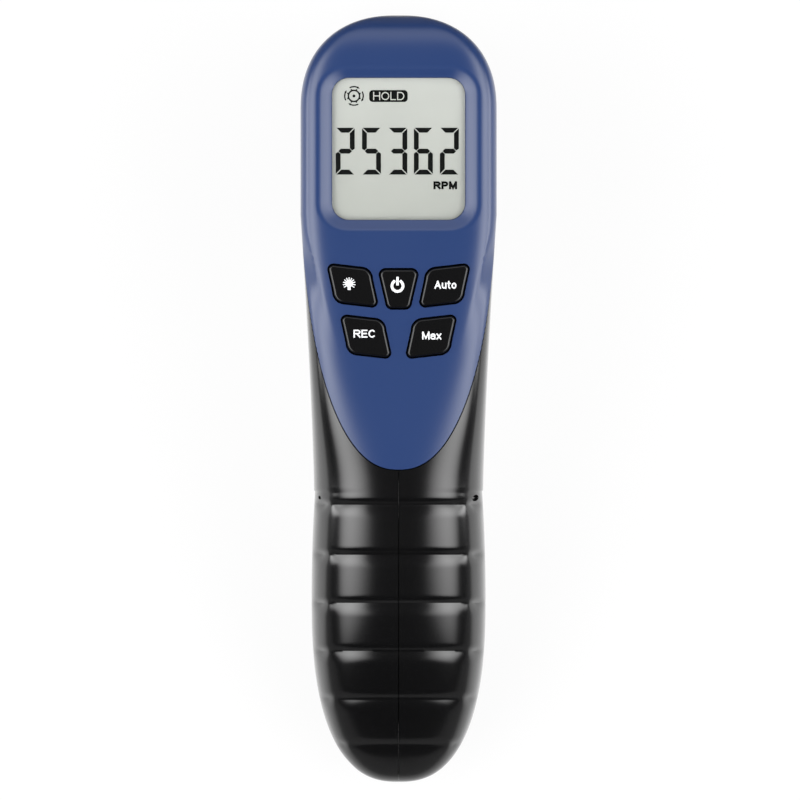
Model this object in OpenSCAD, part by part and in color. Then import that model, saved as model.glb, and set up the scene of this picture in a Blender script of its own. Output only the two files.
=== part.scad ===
// Hand-held laser tachometer with a bent body, lying on its nose and butt.
// X is the width, +Y points to the head, +Z is the way the display faces.
// Millimetres. The origin is under the middle of the body, on the table.

/* [Body] */
// Width of the head
head_w = 53; // [51:0.5:57]
// Height from the table to the display face
head_h = 76; // [74:0.5:80]
// Length of the head, from its rounded end to the neck
head_l = 54; // [52:0.5:58]
// Length of the rounded end of the head
dome_l = 25.7; // [24:0.1:27]
// Length of the neck, from the head to the waist
neck_l = 74.3; // [73:0.5:80]
// Length of the grip, from the waist to the tip of the butt
grip_l = 79.5; // [78:0.5:86]
// Width of the waist
waist_w = 45.8; // [45:0.1:47]
// Step at the waist where the grip begins
waist_step = 0.3; // [0.1:0.1:0.6]
// Largest width of the grip
grip_w = 47.2; // [46.4:0.1:50]
// Length of the rounded butt
butt_l = 49.9; // [46:0.1:52]
// Radius of the bend of the back
bend_r = 214; // [205:1:240]
// Height of the tip of the butt
butt_z = 12; // [10:0.5:14]
// Height of the widest line of the head
head_mid_z = 57; // [54:0.5:60]
// Wall of the shells and the panel
wall = 2.4; // [2:0.1:2.6]

/* [Underside] */
// Height of the hollow for the finger
hollow_z = 33; // [31:0.5:34]
// Length of the ramp from the hollow to the nose
ramp_l = 20; // [18:0.5:22]
// Rise of the front of the grip for each millimetre of length
front_slope = 0.42; // [0.4:0.01:0.44]
// Softness of the heel where the grip touches the table
heel_soft = 4; // [3:0.5:5]
// Distance from the tip of the butt to the heel
heel_in = 16; // [14:0.5:18]

/* [Grip grooves] */
// Number of grooves across the grip
groove_count = 6; // [4:1:6]
// Distance from the waist to the first groove
groove_from = 3.9; // [3.4:0.1:4.4]
// Pitch of the grooves at the waist
groove_pitch = 13.6; // [13:0.1:14]
// Share by which the pitch closes up at each groove
groove_close = 0.008; // [0.005:0.001:0.012]
// Length of a groove's steep side, towards the head
groove_up = 2; // [1.6:0.1:2.4]
// Length of a groove's gentle side, towards the butt
groove_down = 3.6; // [3:0.1:4.2]
// Depth of the first groove
groove_d = 1.1; // [0.6:0.1:1.2]
// Share of that depth that the last groove keeps
groove_end = 0.4; // [0.3:0.05:1]

/* [Panel] */
// Depth of the panel's side, from the back to the seam
seam_d = 8; // [7:0.5:9.5]
// Length of the panel's tongue on the neck
tongue_l = 63.9; // [60:0.1:66]
// Distance from the end of the head to the root of the tongue
tongue_in = 4.9; // [4:0.1:6]
// Clearance between the panel and the shells
seam_gap = 0.1; // [0.05:0.05:0.2]

/* [Display] */
// Width of the display window
window_w = 35.9; // [34:0.1:37]
// Length of the display window
window_l = 38.3; // [36:0.1:39]
// Corner radius of the display window
window_r = 4.6; // [3:0.1:6]
// Distance from the neck to the middle of the display
display_up = 17.8; // [17.4:0.1:18.4]
// Width of the sloped rim at each side of the window
rim_side = 3.9; // [3:0.1:4.2]
// Width of the sloped rim at each end of the window
rim_end = 2.9; // [2:0.1:3.2]
// Depth of the window below the face
rim_d = 1.6; // [1:0.1:1.8]
// Thickness of the window
window_t = 1.4; // [1:0.1:1.6]
// Width of the ledge that carries the window
window_ledge = 1.5; // [1:0.1:2]
// Thickness of the display glass
glass_t = 2.2; // [1.6:0.1:2.4]
// Thickness of the backlight plate
backlight_t = 3.2; // [2.4:0.1:3.4]
// Width of a contact strip
strip_w = 2; // [1.6:0.1:2.4]

/* [Keys] */
// Width of a side key's hole
key_w = 11.7; // [11:0.1:12.2]
// Length of a side key's hole
key_l = 10.6; // [10:0.1:11]
// Fall of a side key's ends towards the middle
key_fall = 1.42; // [1:0.02:1.8]
// Lean of a side key's sides towards the middle
key_lean = 2.4; // [2:0.1:2.8]
// Corner radius of a key's hole
key_r = 2; // [1:0.1:2.2]
// Width of the power key's hole at the top
power_w = 10.5; // [10:0.1:11]
// Width of the power key's hole at the bottom
power_foot_w = 7; // [6:0.1:7.4]
// Distance from the neck to the first row of keys
keys_in = 19.1; // [18.8:0.1:19.6]
// Pitch of the two rows of keys
key_row = 13.8; // [13.4:0.1:14.4]
// Distance of the first row's side keys from the middle
key_x1 = 12.4; // [12.1:0.1:12.8]
// Distance of the second row's keys from the middle
key_x2 = 8.8; // [8.6:0.1:9.4]
// Clearance round a key
key_gap = 0.35; // [0.3:0.05:0.4]
// Height by which a key stands above the panel
key_proud = 0.7; // [0.4:0.1:0.9]
// Travel of a key
key_travel = 0.8; // [0.6:0.1:0.9]

/* [Trigger] */
// Width of the trigger
trigger_w = 13; // [11:0.5:14]
// Length of the trigger from its pin to its free end
trigger_l = 23.6; // [23:0.1:24.6]
// Depth of the trigger below its pin
trigger_d = 10; // [9:0.1:10.6]
// Clearance round the trigger
trigger_gap = 0.5; // [0.4:0.05:0.7]
// Distance from the neck to the trigger's pin
trigger_in = 25; // [24.8:0.1:25.4]
// Height of the trigger's pin above the hollow
trigger_up = 4.2; // [4:0.1:4.6]
// Diameter of the trigger's pin
pin_d = 2.4; // [2:0.1:2.8]
// Length of the trigger's pin
pin_l = 18; // [17:0.5:20]

/* [Nose] */
// Diameter of the nose ring
nose_d = 42; // [40:0.5:43]
// Height by which the nose ring stands below the shells
nose_proud = 2; // [1.6:0.1:2.6]
// Distance from the neck to the middle of the nose
nose_up = 22; // [21.5:0.1:22.5]
// Diameter of the front window
lens_cover_d = 32; // [30:0.5:33]
// Diameter of the laser module
laser_d = 9; // [8:0.1:9.4]
// Length of the laser module
laser_l = 23; // [20:0.5:25]
// Distance of the laser from the middle of the nose
laser_off = 8.5; // [8.3:0.1:8.8]
// Diameter of the receiving lens
lens_d = 15.8; // [14.6:0.1:16]
// Distance of the receiving lens from the middle of the nose
lens_off = 5.5; // [5.3:0.1:5.8]
// Length of the optics block's tubes
tube_l = 26; // [24:0.5:28]

/* [Battery] */
// Width of the battery block
battery_w = 26.5; // [26:0.1:27]
// Thickness of the battery block
battery_t = 17.5; // [17:0.1:18]
// Length of the battery block
battery_l = 48.5; // [47:0.1:49]
// Tilt of the battery in the grip
battery_tilt = 25; // [24:0.5:26]
// Distance from the waist to the middle of the battery
battery_in = 37.6; // [37:0.1:38.2]
// Height of the middle of the battery
battery_z = 26; // [25.5:0.1:26.5]
// Width of the battery door
door_w = 30; // [28:0.5:32]
// Length of the battery door
door_l = 45; // [42:0.5:47]
// Distance from the waist to the battery door
door_in = 14; // [13:0.5:15]
// Clearance round the battery door
door_gap = 0.25; // [0.15:0.05:0.35]

/* [Boards and fasteners] */
// Thickness of the circuit boards
board_t = 1.6; // [1.2:0.1:1.8]
// Diameter of the screws that join the shells
screw_d = 3; // [2.6:0.1:3.2]
// Length of the screws that join the shells
screw_l = 16; // [14:0.5:17]
// Diameter of the screws that hold the board
board_screw_d = 2.2; // [2:0.1:2.4]
// Clearance of a pin or a screw in its hole
fit_gap = 0.15; // [0.1:0.05:0.2]

/* [Hidden] */

$fn = 48;
HULL_FN = 16;
// Overlap that lets a cut pass right through
EPS = 0.05;
// Longer than any part of the body
FAR = 160;

// Places along the body
total_l = head_l + neck_l + grip_l;
y_top = total_l / 2;
y_bot = -total_l / 2;
y_neck = y_top - head_l;
y_waist = y_neck - neck_l;
y_dome = y_top - dome_l;
y_butt = y_bot + butt_l;
y_heel = y_bot + heel_in;
y_bend = y_neck - 5.9;
y_ramp_end = y_neck - 3.9;
y_ramp = y_ramp_end - ramp_l;
y_tongue = y_neck - tongue_in;
y_display = y_neck + display_up;
y_nose = y_neck + nose_up;
y_row1 = y_neck - keys_in;
y_row2 = y_row1 - key_row;
y_pivot = y_neck - trigger_in;
z_pivot = hollow_z + trigger_up;

// Roundness of the plan, the end caps and the sections
HEAD_PLAN_N = 2.3;
BUTT_PLAN_N = 2.5;
TOP_CAP_N = 5;
NOSE_CAP_N = 6;
BUTT_CAP_N = 3;
TONGUE_N = 2.3;
HEAD_TOP_N = 9;
HEAD_FOOT_N = 9;
GRIP_TOP_N = 2.8;
GRIP_FOOT_N = 2.6;
NECK_TAPER = 1.35;
HOLLOW_BLEND = 4;

// Smooth step from 0 at a to 1 at b
function ease(a, b, v) = let (t = max(0, min(1, (v - a) / (b - a)))) t * t * (3 - 2 * t);
// Value between a and b
function mix(a, b, t) = a + (b - a) * t;
// Lesser of two values with a rounded corner
function soft_min(a, b, k) = let (h = max(k - abs(a - b), 0) / k) min(a, b) - h * h * k / 4;
// Height of a rounded end at a share t of its length
function cap(t, n) = t <= 0 ? 1 : pow(max(0, 1 - pow(min(t, 1), n)), 1 / n);
function dome(y, i, n) = cap((y - y_dome) / (dome_l - i), n);
function butt(y, i, n) = cap((y_butt - y) / (butt_l - i), n);

// Half width of the body at y, i inside its surface
function half_w(y, i) =
    y >= y_neck ? (head_w / 2 - i) * dome(y, i, HEAD_PLAN_N)
    : y >= y_waist ? mix(waist_w, head_w, pow((y - y_waist) / neck_l, NECK_TAPER)) / 2 - i
    : y >= y_butt ? mix(grip_w, waist_w - 2 * waist_step,
        pow((y - y_butt) / (y_waist - y_butt), 2)) / 2 - i
    : (grip_w / 2 - i) * butt(y, i, BUTT_PLAN_N);

// Line of the back before its ends are rounded
function back_z(y) = head_h - pow(max(0, y_bend - y), 2) / (2 * bend_r);
function top_z(y, i) =
    y >= y_dome ? mix(head_mid_z, head_h - i, dome(y, i, TOP_CAP_N))
    : y >= y_butt ? back_z(y) - i
    : mix(butt_z, back_z(y) - i, butt(y, i, BUTT_CAP_N));

// Line of the front of the grip and the hollow
function heel_z(y, i) =
    i + (butt_z - i) * (1 - sqrt(max(0, 1 - pow((y_heel - y) / (heel_in - i), 2))));
function front_z(y) = soft_min(hollow_z,
    sqrt(pow(front_slope * (y - y_heel), 2) + heel_soft * heel_soft) - heel_soft, HOLLOW_BLEND);
function foot_z(y, i) =
    y < y_heel ? heel_z(y, i)
    : y >= y_dome ? mix(head_mid_z, nose_proud + i, dome(y, i, NOSE_CAP_N))
    : i + mix(front_z(y), nose_proud, ease(y_ramp, y_ramp_end, y));

// Height of the widest line
function mid_z(y) = mix((top_z(y, 0) + foot_z(y, 0)) / 2, head_mid_z, ease(y_waist, y_tongue, y));
function top_n(y) = mix(GRIP_TOP_N, HEAD_TOP_N, ease(y_waist, y_neck, y));
function foot_n(y) = mix(GRIP_FOOT_N, HEAD_FOOT_N, ease(y_ramp, y_ramp_end, y));

// Grooves across the back and the sides of the grip
function groove_y(k) = y_waist - groove_from - k * groove_pitch * (1 - groove_close * k);
function groove_part(d) = pow(1 - min(1, d > 0 ? d / groove_up : -d / groove_down), 2);
function groove_cut(y) = groove_d * max([for (k = [0:groove_count - 1])
    groove_part(y - groove_y(k)) * mix(1, groove_end, k / (groove_count - 1))]);
// Share of the groove's depth round the section: shallow at the corners, none at the sides
function groove_share(a) = let (side = abs(90 - a))
    (1 - 0.6 * exp(-pow((side - 48) / 9, 2))) * (1 - ease(58, 84, side));

// One point of the section at y, at the angle a
function sign_pow(v, p) = sign(v) * pow(abs(v), p);
function skin_point(y, a, i) = let (
    up = sin(a) >= 0,
    n = up ? top_n(y) : foot_n(y),
    cut = i == 0 ? groove_cut(y) * groove_share(a > 270 ? a - 360 : a) : 0,
    h = up ? top_z(y, i) - mid_z(y) : mid_z(y) - foot_z(y, i))
    [(half_w(y, i) - cut) * sign_pow(cos(a), 2 / n), y,
        mid_z(y) + (h - (up ? cut : 0)) * sign_pow(sin(a), 2 / n)];

// Stations along the body
function spread(a, b, n) = [for (k = [0:n - 1]) a + (b - a) * k / n];
DOME_STEPS = [15, 30, 45, 57, 67, 75, 81, 86];
function butt_stations(i) = let (last = groove_y(groove_count - 1) - groove_down)
    [for (t = [0.04, 0.13, 0.26, 0.45, 0.7]) mix(y_bot + i, last, t)];
function groove_stations() = [for (k = [groove_count - 1:-1:0])
    each concat(k == groove_count - 1 ? [] : [(groove_y(k) + groove_y(k + 1)) / 2],
        [for (s = [-groove_down, -groove_down / 2, 0, groove_up / 2, groove_up]) groove_y(k) + s])];
function grip_stations(i) = i == 0 ? groove_stations() : spread(groove_y(groove_count - 1), y_waist, 6);
function stations(i) = concat(butt_stations(i), grip_stations(i), [y_waist - EPS],
    spread(y_waist + EPS, y_ramp, i == 0 ? 7 : 4), spread(y_ramp, y_ramp_end, i == 0 ? 6 : 4),
    spread(y_ramp_end, y_dome, 3), [y_dome],
    [for (a = DOME_STEPS) y_dome + (dome_l - i) * sin(a)]);

// Closed solid from rings of points and a point at each end
module skin(rings, first, last) {
    m = len(rings[0]);
    n = len(rings);
    points = concat([first], [for (ring = rings) each ring], [last]);
    side = [for (j = [0:n - 2], k = [0:m - 1])
        let (a = 1 + j * m + k, b = 1 + j * m + (k + 1) % m) each [[a, b, b + m], [a, b + m, a + m]]];
    low = [for (k = [0:m - 1]) [0, 1 + (k + 1) % m, 1 + k]];
    high = [for (k = [0:m - 1]) let (a = 1 + (n - 1) * m) [a + k, a + (k + 1) % m, n * m + 1]];
    polyhedron(points, concat(low, side, high));
}

// Body, i inside its surface
module body_solid(i) {
    step = i == 0 ? 12 : 20;
    rings = [for (y = stations(i)) [for (a = [0:step:359]) skin_point(y, a, i)]];
    skin(rings, [0, y_bot + i, butt_z], [0, y_top - i, head_mid_z]);
}

module body_wall() {
    difference() {
        body_solid(0);
        body_solid(wall);
    }
}

// Seam of the panel: points on the body's surface and their outward directions
function seam_share(y) = cap((y_tongue - y) / tongue_l, TONGUE_N);
function seam_height(y) = let (h = top_z(y, 0) - mid_z(y))
    max(back_z(y) - seam_d, mid_z(y) + h * cap(seam_share(y), top_n(y)));
function seam_point(y) = let (u = (seam_height(y) - mid_z(y)) / (top_z(y, 0) - mid_z(y)))
    [half_w(y, 0) * cap(u, top_n(y)), y, seam_height(y)];
function seam_normal(y) = let (
    n = top_n(y),
    h = top_z(y, 0) - mid_z(y),
    v = [pow(seam_point(y)[0] / half_w(y, 0), n - 1) / half_w(y, 0), 0,
        pow((seam_height(y) - mid_z(y)) / h, n - 1) / h])
    v / norm(v);
SEAM_STEPS = [0, 5, 10, 16, 23, 30, 38, 46, 54, 62, 70, 78];
SEAM_IN = 6;
SEAM_OUT = 8;
function seam_side(gap, out) = concat(
    [for (a = SEAM_STEPS) let (y = y_tongue - tongue_l * cos(a),
        p = seam_point(y) + seam_normal(y) * out) p + [a == 0 ? 0 : gap, -gap, -gap / 2]],
    [for (y = [y_tongue, y_top + FAR / 4]) [head_w / 2 + out, y, head_h - seam_d - gap]]);
function mirror_x(p) = [-p[0], p[1], p[2]];
function seam_ring(gap, out) = let (r = seam_side(gap, out), n = len(r))
    concat([for (p = r) mirror_x(p)], [for (k = [n - 1:-1:1]) r[k]]);

// Room above the seam, grown by a gap
module panel_zone(gap) {
    outer = seam_ring(gap, SEAM_OUT);
    lid = [for (p = outer) [p[0], p[1], FAR]];
    skin([seam_ring(gap, -SEAM_IN), outer, lid], [0, y_tongue, head_h - seam_d - gap], [0, y_tongue, FAR]);
}

// Cylinder along X from x0 to x1
module bar_x(x0, x1, y, z, r) {
    translate([x0, y, z]) rotate([0, 90, 0]) cylinder(r = r, h = x1 - x0);
}

// Rounded rectangle in the plane
module round_rect(w, l, r) {
    hull() for (sx = [-1, 1], sy = [-1, 1])
        translate([sx * (w / 2 - r), sy * (l / 2 - r)]) circle(r = r, $fn = HULL_FN);
}

// Screws that join the shells: their places along the body and their heights
screw_spots = [[y_top - 8, 40], [y_ramp_end - 10, 50], [y_waist + 4.4, 44], [y_bot + 6, 13]];
// Width and thickness of a screw's head for each millimetre of its diameter
SCREW_HEAD_W = 1.85;
SCREW_HEAD_T = 0.7;
screw_head_d = SCREW_HEAD_W * screw_d;
screw_head_t = SCREW_HEAD_T * screw_d;
boss_r = screw_d / 2 + 2;
screw_x = screw_l / 2;

// Trigger's hole, its pin's bosses and its board's shelves
trigger_room = trigger_w / 2 + trigger_gap;
pin_boss_r = pin_d / 2 + 1.8;
trigger_top_z = z_pivot + 11.6;
shelf_t = 1.6;
trigger_board_l = 18;
trigger_board_y = y_pivot - 13;
trigger_board_w = 2 * trigger_room + 2;

// Battery's place and its cradle ribs
y_battery = y_waist - battery_in;
rib_gap = 0.3;
rib_t = 2;
y_door = y_waist - door_in;

module battery_frame() {
    translate([0, y_battery, battery_z]) rotate([battery_tilt, 0, 0]) children();
}

// Screw of the battery door and the lug of the shells that it goes into
door_screw_y = y_door - 4;
door_screw_z = foot_z(door_screw_y, 0) + 0.2;
door_screw_l = 7.2;
lug_z = foot_z(y_door, wall) + 0.3;
lug_t = 3.4;
lug_w = 5;

// Inside ribs and bosses of the right shell, before they are trimmed to the body
module shell_ribs() {
    hull() translate([0, door_screw_y - 2.2, lug_z]) cube([lug_w, y_door - door_screw_y + 6.2, lug_t]);
    for (s = screw_spots) hull() {
        bar_x(0, head_w, s[0], s[1], boss_r, $fn = HULL_FN);
        translate([head_w / 4, s[0] - boss_r - 1, s[1] - 0.8]) cube([head_w, 2 * boss_r + 2, rib_t]);
    }
    hull() bar_x(trigger_room + fit_gap, head_w, y_pivot, z_pivot, pin_boss_r, $fn = HULL_FN);
    hull()
        translate([trigger_board_w / 2 - rib_t, trigger_board_y - trigger_board_l / 3,
            trigger_top_z - shelf_t])
                cube([head_w, trigger_board_l * 2 / 3, shelf_t]);
    battery_frame() for (s = [-1, 1]) hull()
        translate([battery_w / 2 + rib_gap, s * battery_l / 4 - rib_t / 2, -battery_t / 2])
            cube([head_w, rib_t, battery_t]);
}

// Everything that is cut from a shell's wall
module shell_cuts() {
    panel_zone(seam_gap);
    translate([0, y_nose, -EPS]) cylinder(d = nose_d + 2 * fit_gap, h = head_h / 4);
    translate([0, y_nose, bezel_l - bezel_lip_t - fit_gap])
        cylinder(d = nose_d + 2 * bezel_lip + 2 * fit_gap, h = head_h / 4);
    translate([-trigger_room, y_pivot - trigger_l - trigger_gap, 0])
        cube([2 * trigger_room, trigger_l + trigger_gap + pin_boss_r, z_pivot]);
    translate([-door_w / 2 - door_gap, y_door - door_l - door_gap, -EPS])
        cube([door_w + 2 * door_gap, door_l + 2 * door_gap, lug_z]);
    bar_x(-pin_l / 2 - fit_gap, pin_l / 2 + fit_gap, y_pivot, z_pivot, pin_d / 2 + fit_gap);
    translate([0, door_screw_y, lug_z - EPS])
        cylinder(d = board_screw_d + 2 * fit_gap, h = lug_t + 1, $fn = HULL_FN);
    for (s = screw_spots) {
        bar_x(-screw_x - EPS, screw_x + 1, s[0], s[1], screw_d / 2 + fit_gap);
        bar_x(-head_w, -screw_x, s[0], s[1], screw_head_d / 2 + fit_gap);
    }
}

// Right half of the casing
module half_shell() {
    difference() {
        union() {
            body_wall();
            intersection() {
                shell_ribs();
                body_solid(wall / 2);
            }
        }
        translate([-FAR, -FAR, -FAR]) cube([FAR, 2 * FAR, 2 * FAR]);
        children();
    }
}

module left_shell() {
    color([0.08, 0.08, 0.09]) mirror([1, 0, 0]) half_shell() mirror([1, 0, 0]) shell_cuts();
}

module right_shell() {
    color([0.08, 0.08, 0.09]) half_shell() shell_cuts();
}

// Levels of the display, from the face down
window_z = head_h - rim_d - window_t;
frame_z = window_z - 1.6;
glass_z = frame_z - 0.2 - glass_t;
backlight_z = glass_z - backlight_t;
board_z = backlight_z - 0.2 - board_t;
board_top = board_z + board_t;
glass_w = window_w + 4;
glass_l = window_l + 4.6;

// Posts of the panel that carry the board
post_r = board_screw_d / 2 + 1.6;
post_spots = [[-18, y_bend - 1], [18, y_bend - 1], [-10.5, y_top - 11], [10.5, y_top - 11],
    [0, y_row2 - 11]];

// Middles of the corner arcs of a key's hole: a side key leans inwards, the power key is a wedge
key_power_l = key_l + 0.4;
function side_arc(u, v) = [u * (key_w / 2 - key_r) - v * (key_lean / 2 - key_r * key_lean / key_l),
    v * (key_l / 2 - key_r) - u * (key_fall / 2 - key_r * key_fall / key_w)];
function power_arc(u, v) = [u * ((v > 0 ? power_w : power_foot_w) / 2 - key_r),
    v * (key_power_l / 2 - key_r)];
// Each key: its middle, its kind and the side to which it leans
key_spots = [[-key_x1, y_row1, "side", 1], [0, y_row1 - 0.9, "power", 1], [key_x1, y_row1, "side", -1],
    [-key_x2, y_row2, "side", 1], [key_x2, y_row2, "side", -1]];
CORNERS = [[1, 1, 0], [-1, 1, 90], [-1, -1, 180], [1, -1, 270]];
CORNER_STEP = 30;
// Outline of a key's hole, drawn in by an inset, anticlockwise
function key_outline(k, inset) = let (
    spot = key_spots[k],
    side = spot[3],
    loop = [for (c = CORNERS, a = [0:CORNER_STEP:90]) let (
        m = spot[2] == "power" ? power_arc(c[0], c[1]) : side_arc(c[0], c[1]),
        p = m + (key_r - inset) * [cos(a + c[2]), sin(a + c[2])])
        [spot[0] + side * p[0], spot[1] + p[1]]],
    n = len(loop))
    side > 0 ? loop : [for (j = [n - 1:-1:0]) loop[j]];

module face_panel() {
    color([0.20, 0.31, 0.53]) difference() {
        union() {
            intersection() {
                body_wall();
                panel_zone(0);
            }
            intersection() {
                union() {
                    translate([0, y_display, frame_z]) linear_extrude(head_h - frame_z - 0.5)
                        round_rect(glass_w + 1, glass_l + 1, window_r);
                    for (p = post_spots) hull()
                        translate([p[0], p[1], board_top]) cylinder(r = post_r, h = head_h, $fn = HULL_FN);
                }
                body_solid(wall / 2);
            }
        }
        hull() {
            translate([0, y_display, head_h + rim_d]) linear_extrude(EPS)
                round_rect(window_w + 4 * rim_side, window_l + 4 * rim_end, window_r + 2 * rim_end);
            translate([0, y_display, head_h - rim_d]) linear_extrude(EPS)
                round_rect(window_w, window_l, window_r);
        }
        translate([0, y_display, window_z]) linear_extrude(head_h)
            round_rect(window_w + 2 * fit_gap, window_l + 2 * fit_gap, window_r);
        translate([0, y_display, board_z]) linear_extrude(head_h)
            round_rect(window_w - 2 * window_ledge, window_l - 2 * window_ledge, window_r - 1);
        for (k = [0:4]) translate([0, 0, board_top]) linear_extrude(head_h) polygon(key_outline(k, 0));
        for (p = post_spots) translate([p[0], p[1], board_z])
            cylinder(d = board_screw_d + 2 * fit_gap, h = board_t + 5, $fn = HULL_FN);
    }
}

module display_window() {
    color([0.80, 0.83, 0.80]) translate([0, y_display, window_z]) linear_extrude(window_t)
        round_rect(window_w, window_l, window_r);
}

module lcd_glass() {
    color([0.74, 0.77, 0.72]) translate([-glass_w / 2, y_display - glass_l / 2, glass_z])
        cube([glass_w, glass_l, glass_t]);
}

module backlight_plate() {
    color([0.90, 0.92, 0.92]) translate([-glass_w / 2, y_display - glass_l / 2 + strip_w + 1, backlight_z])
        cube([glass_w, glass_l - 2 * strip_w - 2, backlight_t]);
}

// Rubber strips that join the glass to the board
module lcd_strips() {
    color([0.85, 0.45, 0.60]) for (s = [-1, 1])
        translate([-glass_w / 2 + 1, y_display + s * (glass_l - strip_w) / 2 - strip_w / 2, board_top])
            cube([glass_w - 2, strip_w, glass_z - board_top]);
}

// Half width of the main board at its ends and along the display
board_foot_w = 13;
board_foot_in = 15;
board_head_w = 13.5;
board_w = 21;

module main_board() {
    color([0.10, 0.40, 0.22]) difference() {
        translate([0, 0, board_z]) linear_extrude(board_t) polygon([[-board_foot_w, y_row2 - board_foot_in],
            [board_foot_w, y_row2 - board_foot_in], [board_w, y_bend - 8], [board_w, y_dome],
            [board_head_w, y_top - 7], [-board_head_w, y_top - 7], [-board_w, y_dome],
            [-board_w, y_bend - 8]]);
        for (p = post_spots) translate([p[0], p[1], board_z - EPS])
            cylinder(d = board_screw_d + 2 * fit_gap, h = board_t + 2 * EPS);
    }
}

// Rubber sheet with a dome under each key
mat_t = 1.2;
mat_dome_h = 1.6;
mat_dome_r = 3.5;
mat_dome_top_r = 2.4;
mat_out = 7.5;
key_foot_z = board_top + mat_t + mat_dome_h + key_travel + 0.3;
flange_t = 1.2;
flange_w = 0.9;

module keypad_mat() {
    color([0.75, 0.75, 0.72]) translate([0, 0, board_top]) {
        linear_extrude(mat_t) polygon([[-board_foot_w, y_row2 - mat_out], [board_foot_w, y_row2 - mat_out],
            [board_w - mat_t, y_row1 + mat_out], [-board_w + mat_t, y_row1 + mat_out]]);
        for (k = key_spots) translate([k[0], k[1], mat_t])
            cylinder(r1 = mat_dome_r, r2 = mat_dome_top_r, h = mat_dome_h);
    }
}

// One key: a cap whose top follows the panel, on a flange below the panel's wall
key_bevel = 0.6;
module key_cap(k) {
    y0 = key_spots[k][1];
    slope = max(0, y_bend - y0) / bend_r;
    z_top = back_z(y0) + key_proud;
    flange_z = key_foot_z + flange_t;
    // Inset, level and slope of each ring, from the flange up
    levels = [[key_gap - flange_w, key_foot_z, 0], [key_gap - flange_w, flange_z, 0], [key_gap, flange_z, 0],
        [key_gap, z_top - key_bevel, slope], [key_gap + key_bevel, z_top, slope]];
    rings = [for (v = levels) let (loop = key_outline(k, v[0]), n = len(loop))
        [for (j = [n - 1:-1:0]) [loop[j][0], loop[j][1], v[1] + v[2] * (loop[j][1] - y0)]]];
    color([0.10, 0.10, 0.11])
        skin(rings, [key_spots[k][0], y0, key_foot_z], [key_spots[k][0], y0, z_top]);
}

module key_light() { key_cap(0); }
module key_power() { key_cap(1); }
module key_auto() { key_cap(2); }
module key_recall() { key_cap(3); }
module key_max() { key_cap(4); }

// Trigger: a lever with a hollow for the finger, a barrel on its pin and a lip that stops it
lever_t = 1.5;
lip_l = 2.4;
lip_t = 2.2;
module trigger() {
    finger_r = 30;
    end_z = trigger_d * 0.6;
    end_y = -sqrt(trigger_l * trigger_l - end_z * end_z);
    color([0.09, 0.09, 0.10]) translate([0, y_pivot, z_pivot]) difference() {
        union() {
            bar_x(-trigger_w / 2, trigger_w / 2, 0, 0, pin_d / 2 + 2);
            translate([-trigger_w / 2, 0, 0]) rotate([90, 0, 90]) linear_extrude(trigger_w) difference() {
                polygon([[0, pin_d / 2 + 2], [2.4, -1.6], [1.6, -trigger_d * 0.7], [-2.4, -trigger_d],
                    [-trigger_l + 3, -trigger_d], [end_y, -end_z], [-trigger_l, -lip_t],
                    [-trigger_l - lip_l, -lip_t], [-trigger_l - lip_l, lever_t], [-trigger_l / 2, lever_t]]);
                translate([-trigger_l / 2, -trigger_d - finger_r + 1.6]) circle(r = finger_r);
            }
        }
        bar_x(-trigger_w, trigger_w, 0, 0, pin_d / 2 + fit_gap);
    }
}

module trigger_pin() {
    color([0.75, 0.75, 0.78]) bar_x(-pin_l / 2, pin_l / 2, y_pivot, z_pivot, pin_d / 2);
}

// Coil spring between the trigger and its board
spring_r = 2.6;
spring_wire_r = 0.35;
spring_turns = 5;
spring_in = 12;
SPRING_STEPS = 10;
module trigger_spring() {
    foot = z_pivot + lever_t + spring_wire_r + 0.3;
    h = trigger_top_z - spring_wire_r - 0.1 - foot;
    count = spring_turns * SPRING_STEPS;
    rings = [for (j = [0:count]) let (a = j * 360 / SPRING_STEPS)
        [for (b = [0:90:270]) [(spring_r + spring_wire_r * cos(b)) * cos(a),
            (spring_r + spring_wire_r * cos(b)) * sin(a), h * j / count + spring_wire_r * sin(b)]]];
    color([0.72, 0.72, 0.75]) translate([0, y_pivot - spring_in, foot])
        skin(rings, [spring_r, 0, 0], [spring_r, 0, h]);
}

module trigger_board() {
    color([0.10, 0.40, 0.22])
        translate([-trigger_board_w / 2, trigger_board_y - trigger_board_l / 2, trigger_top_z])
            cube([trigger_board_w, trigger_board_l, board_t]);
}

switch_w = 6;
switch_t = 3.5;
plunger_l = 1.6;
module trigger_switch() {
    translate([0, trigger_board_y - trigger_board_l / 2 + switch_w / 2 + 0.5, trigger_top_z - switch_t]) {
        color([0.15, 0.15, 0.16]) translate([-switch_w / 2, -switch_w / 2, 0])
            cube([switch_w, switch_w, switch_t]);
        color([0.80, 0.75, 0.60]) translate([0, 0, -plunger_l])
            cylinder(d = switch_w / 2, h = plunger_l + EPS);
    }
}

// Nose ring: its face is the foot that the head rests on
bezel_l = 8.2;
bezel_lip = 1.8;
bezel_lip_t = 2;
cover_t = 2.2;
cover_z = 0.8;
cover_ledge = 1.6;
module nose_bezel() {
    r = nose_d / 2;
    cover_r = lens_cover_d / 2 + fit_gap;
    color([0.09, 0.09, 0.10]) translate([0, y_nose, 0]) rotate_extrude() polygon([[cover_r, 0], [r, 0],
        [r, bezel_l - bezel_lip_t], [r + bezel_lip, bezel_l - bezel_lip_t], [r + bezel_lip, bezel_l],
        [cover_r - cover_ledge, bezel_l], [cover_r - cover_ledge, cover_z + cover_t],
        [cover_r, cover_z + cover_t]]);
}

module front_window() {
    color([0.45, 0.10, 0.12]) translate([0, y_nose, cover_z]) cylinder(d = lens_cover_d, h = cover_t);
}

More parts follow.
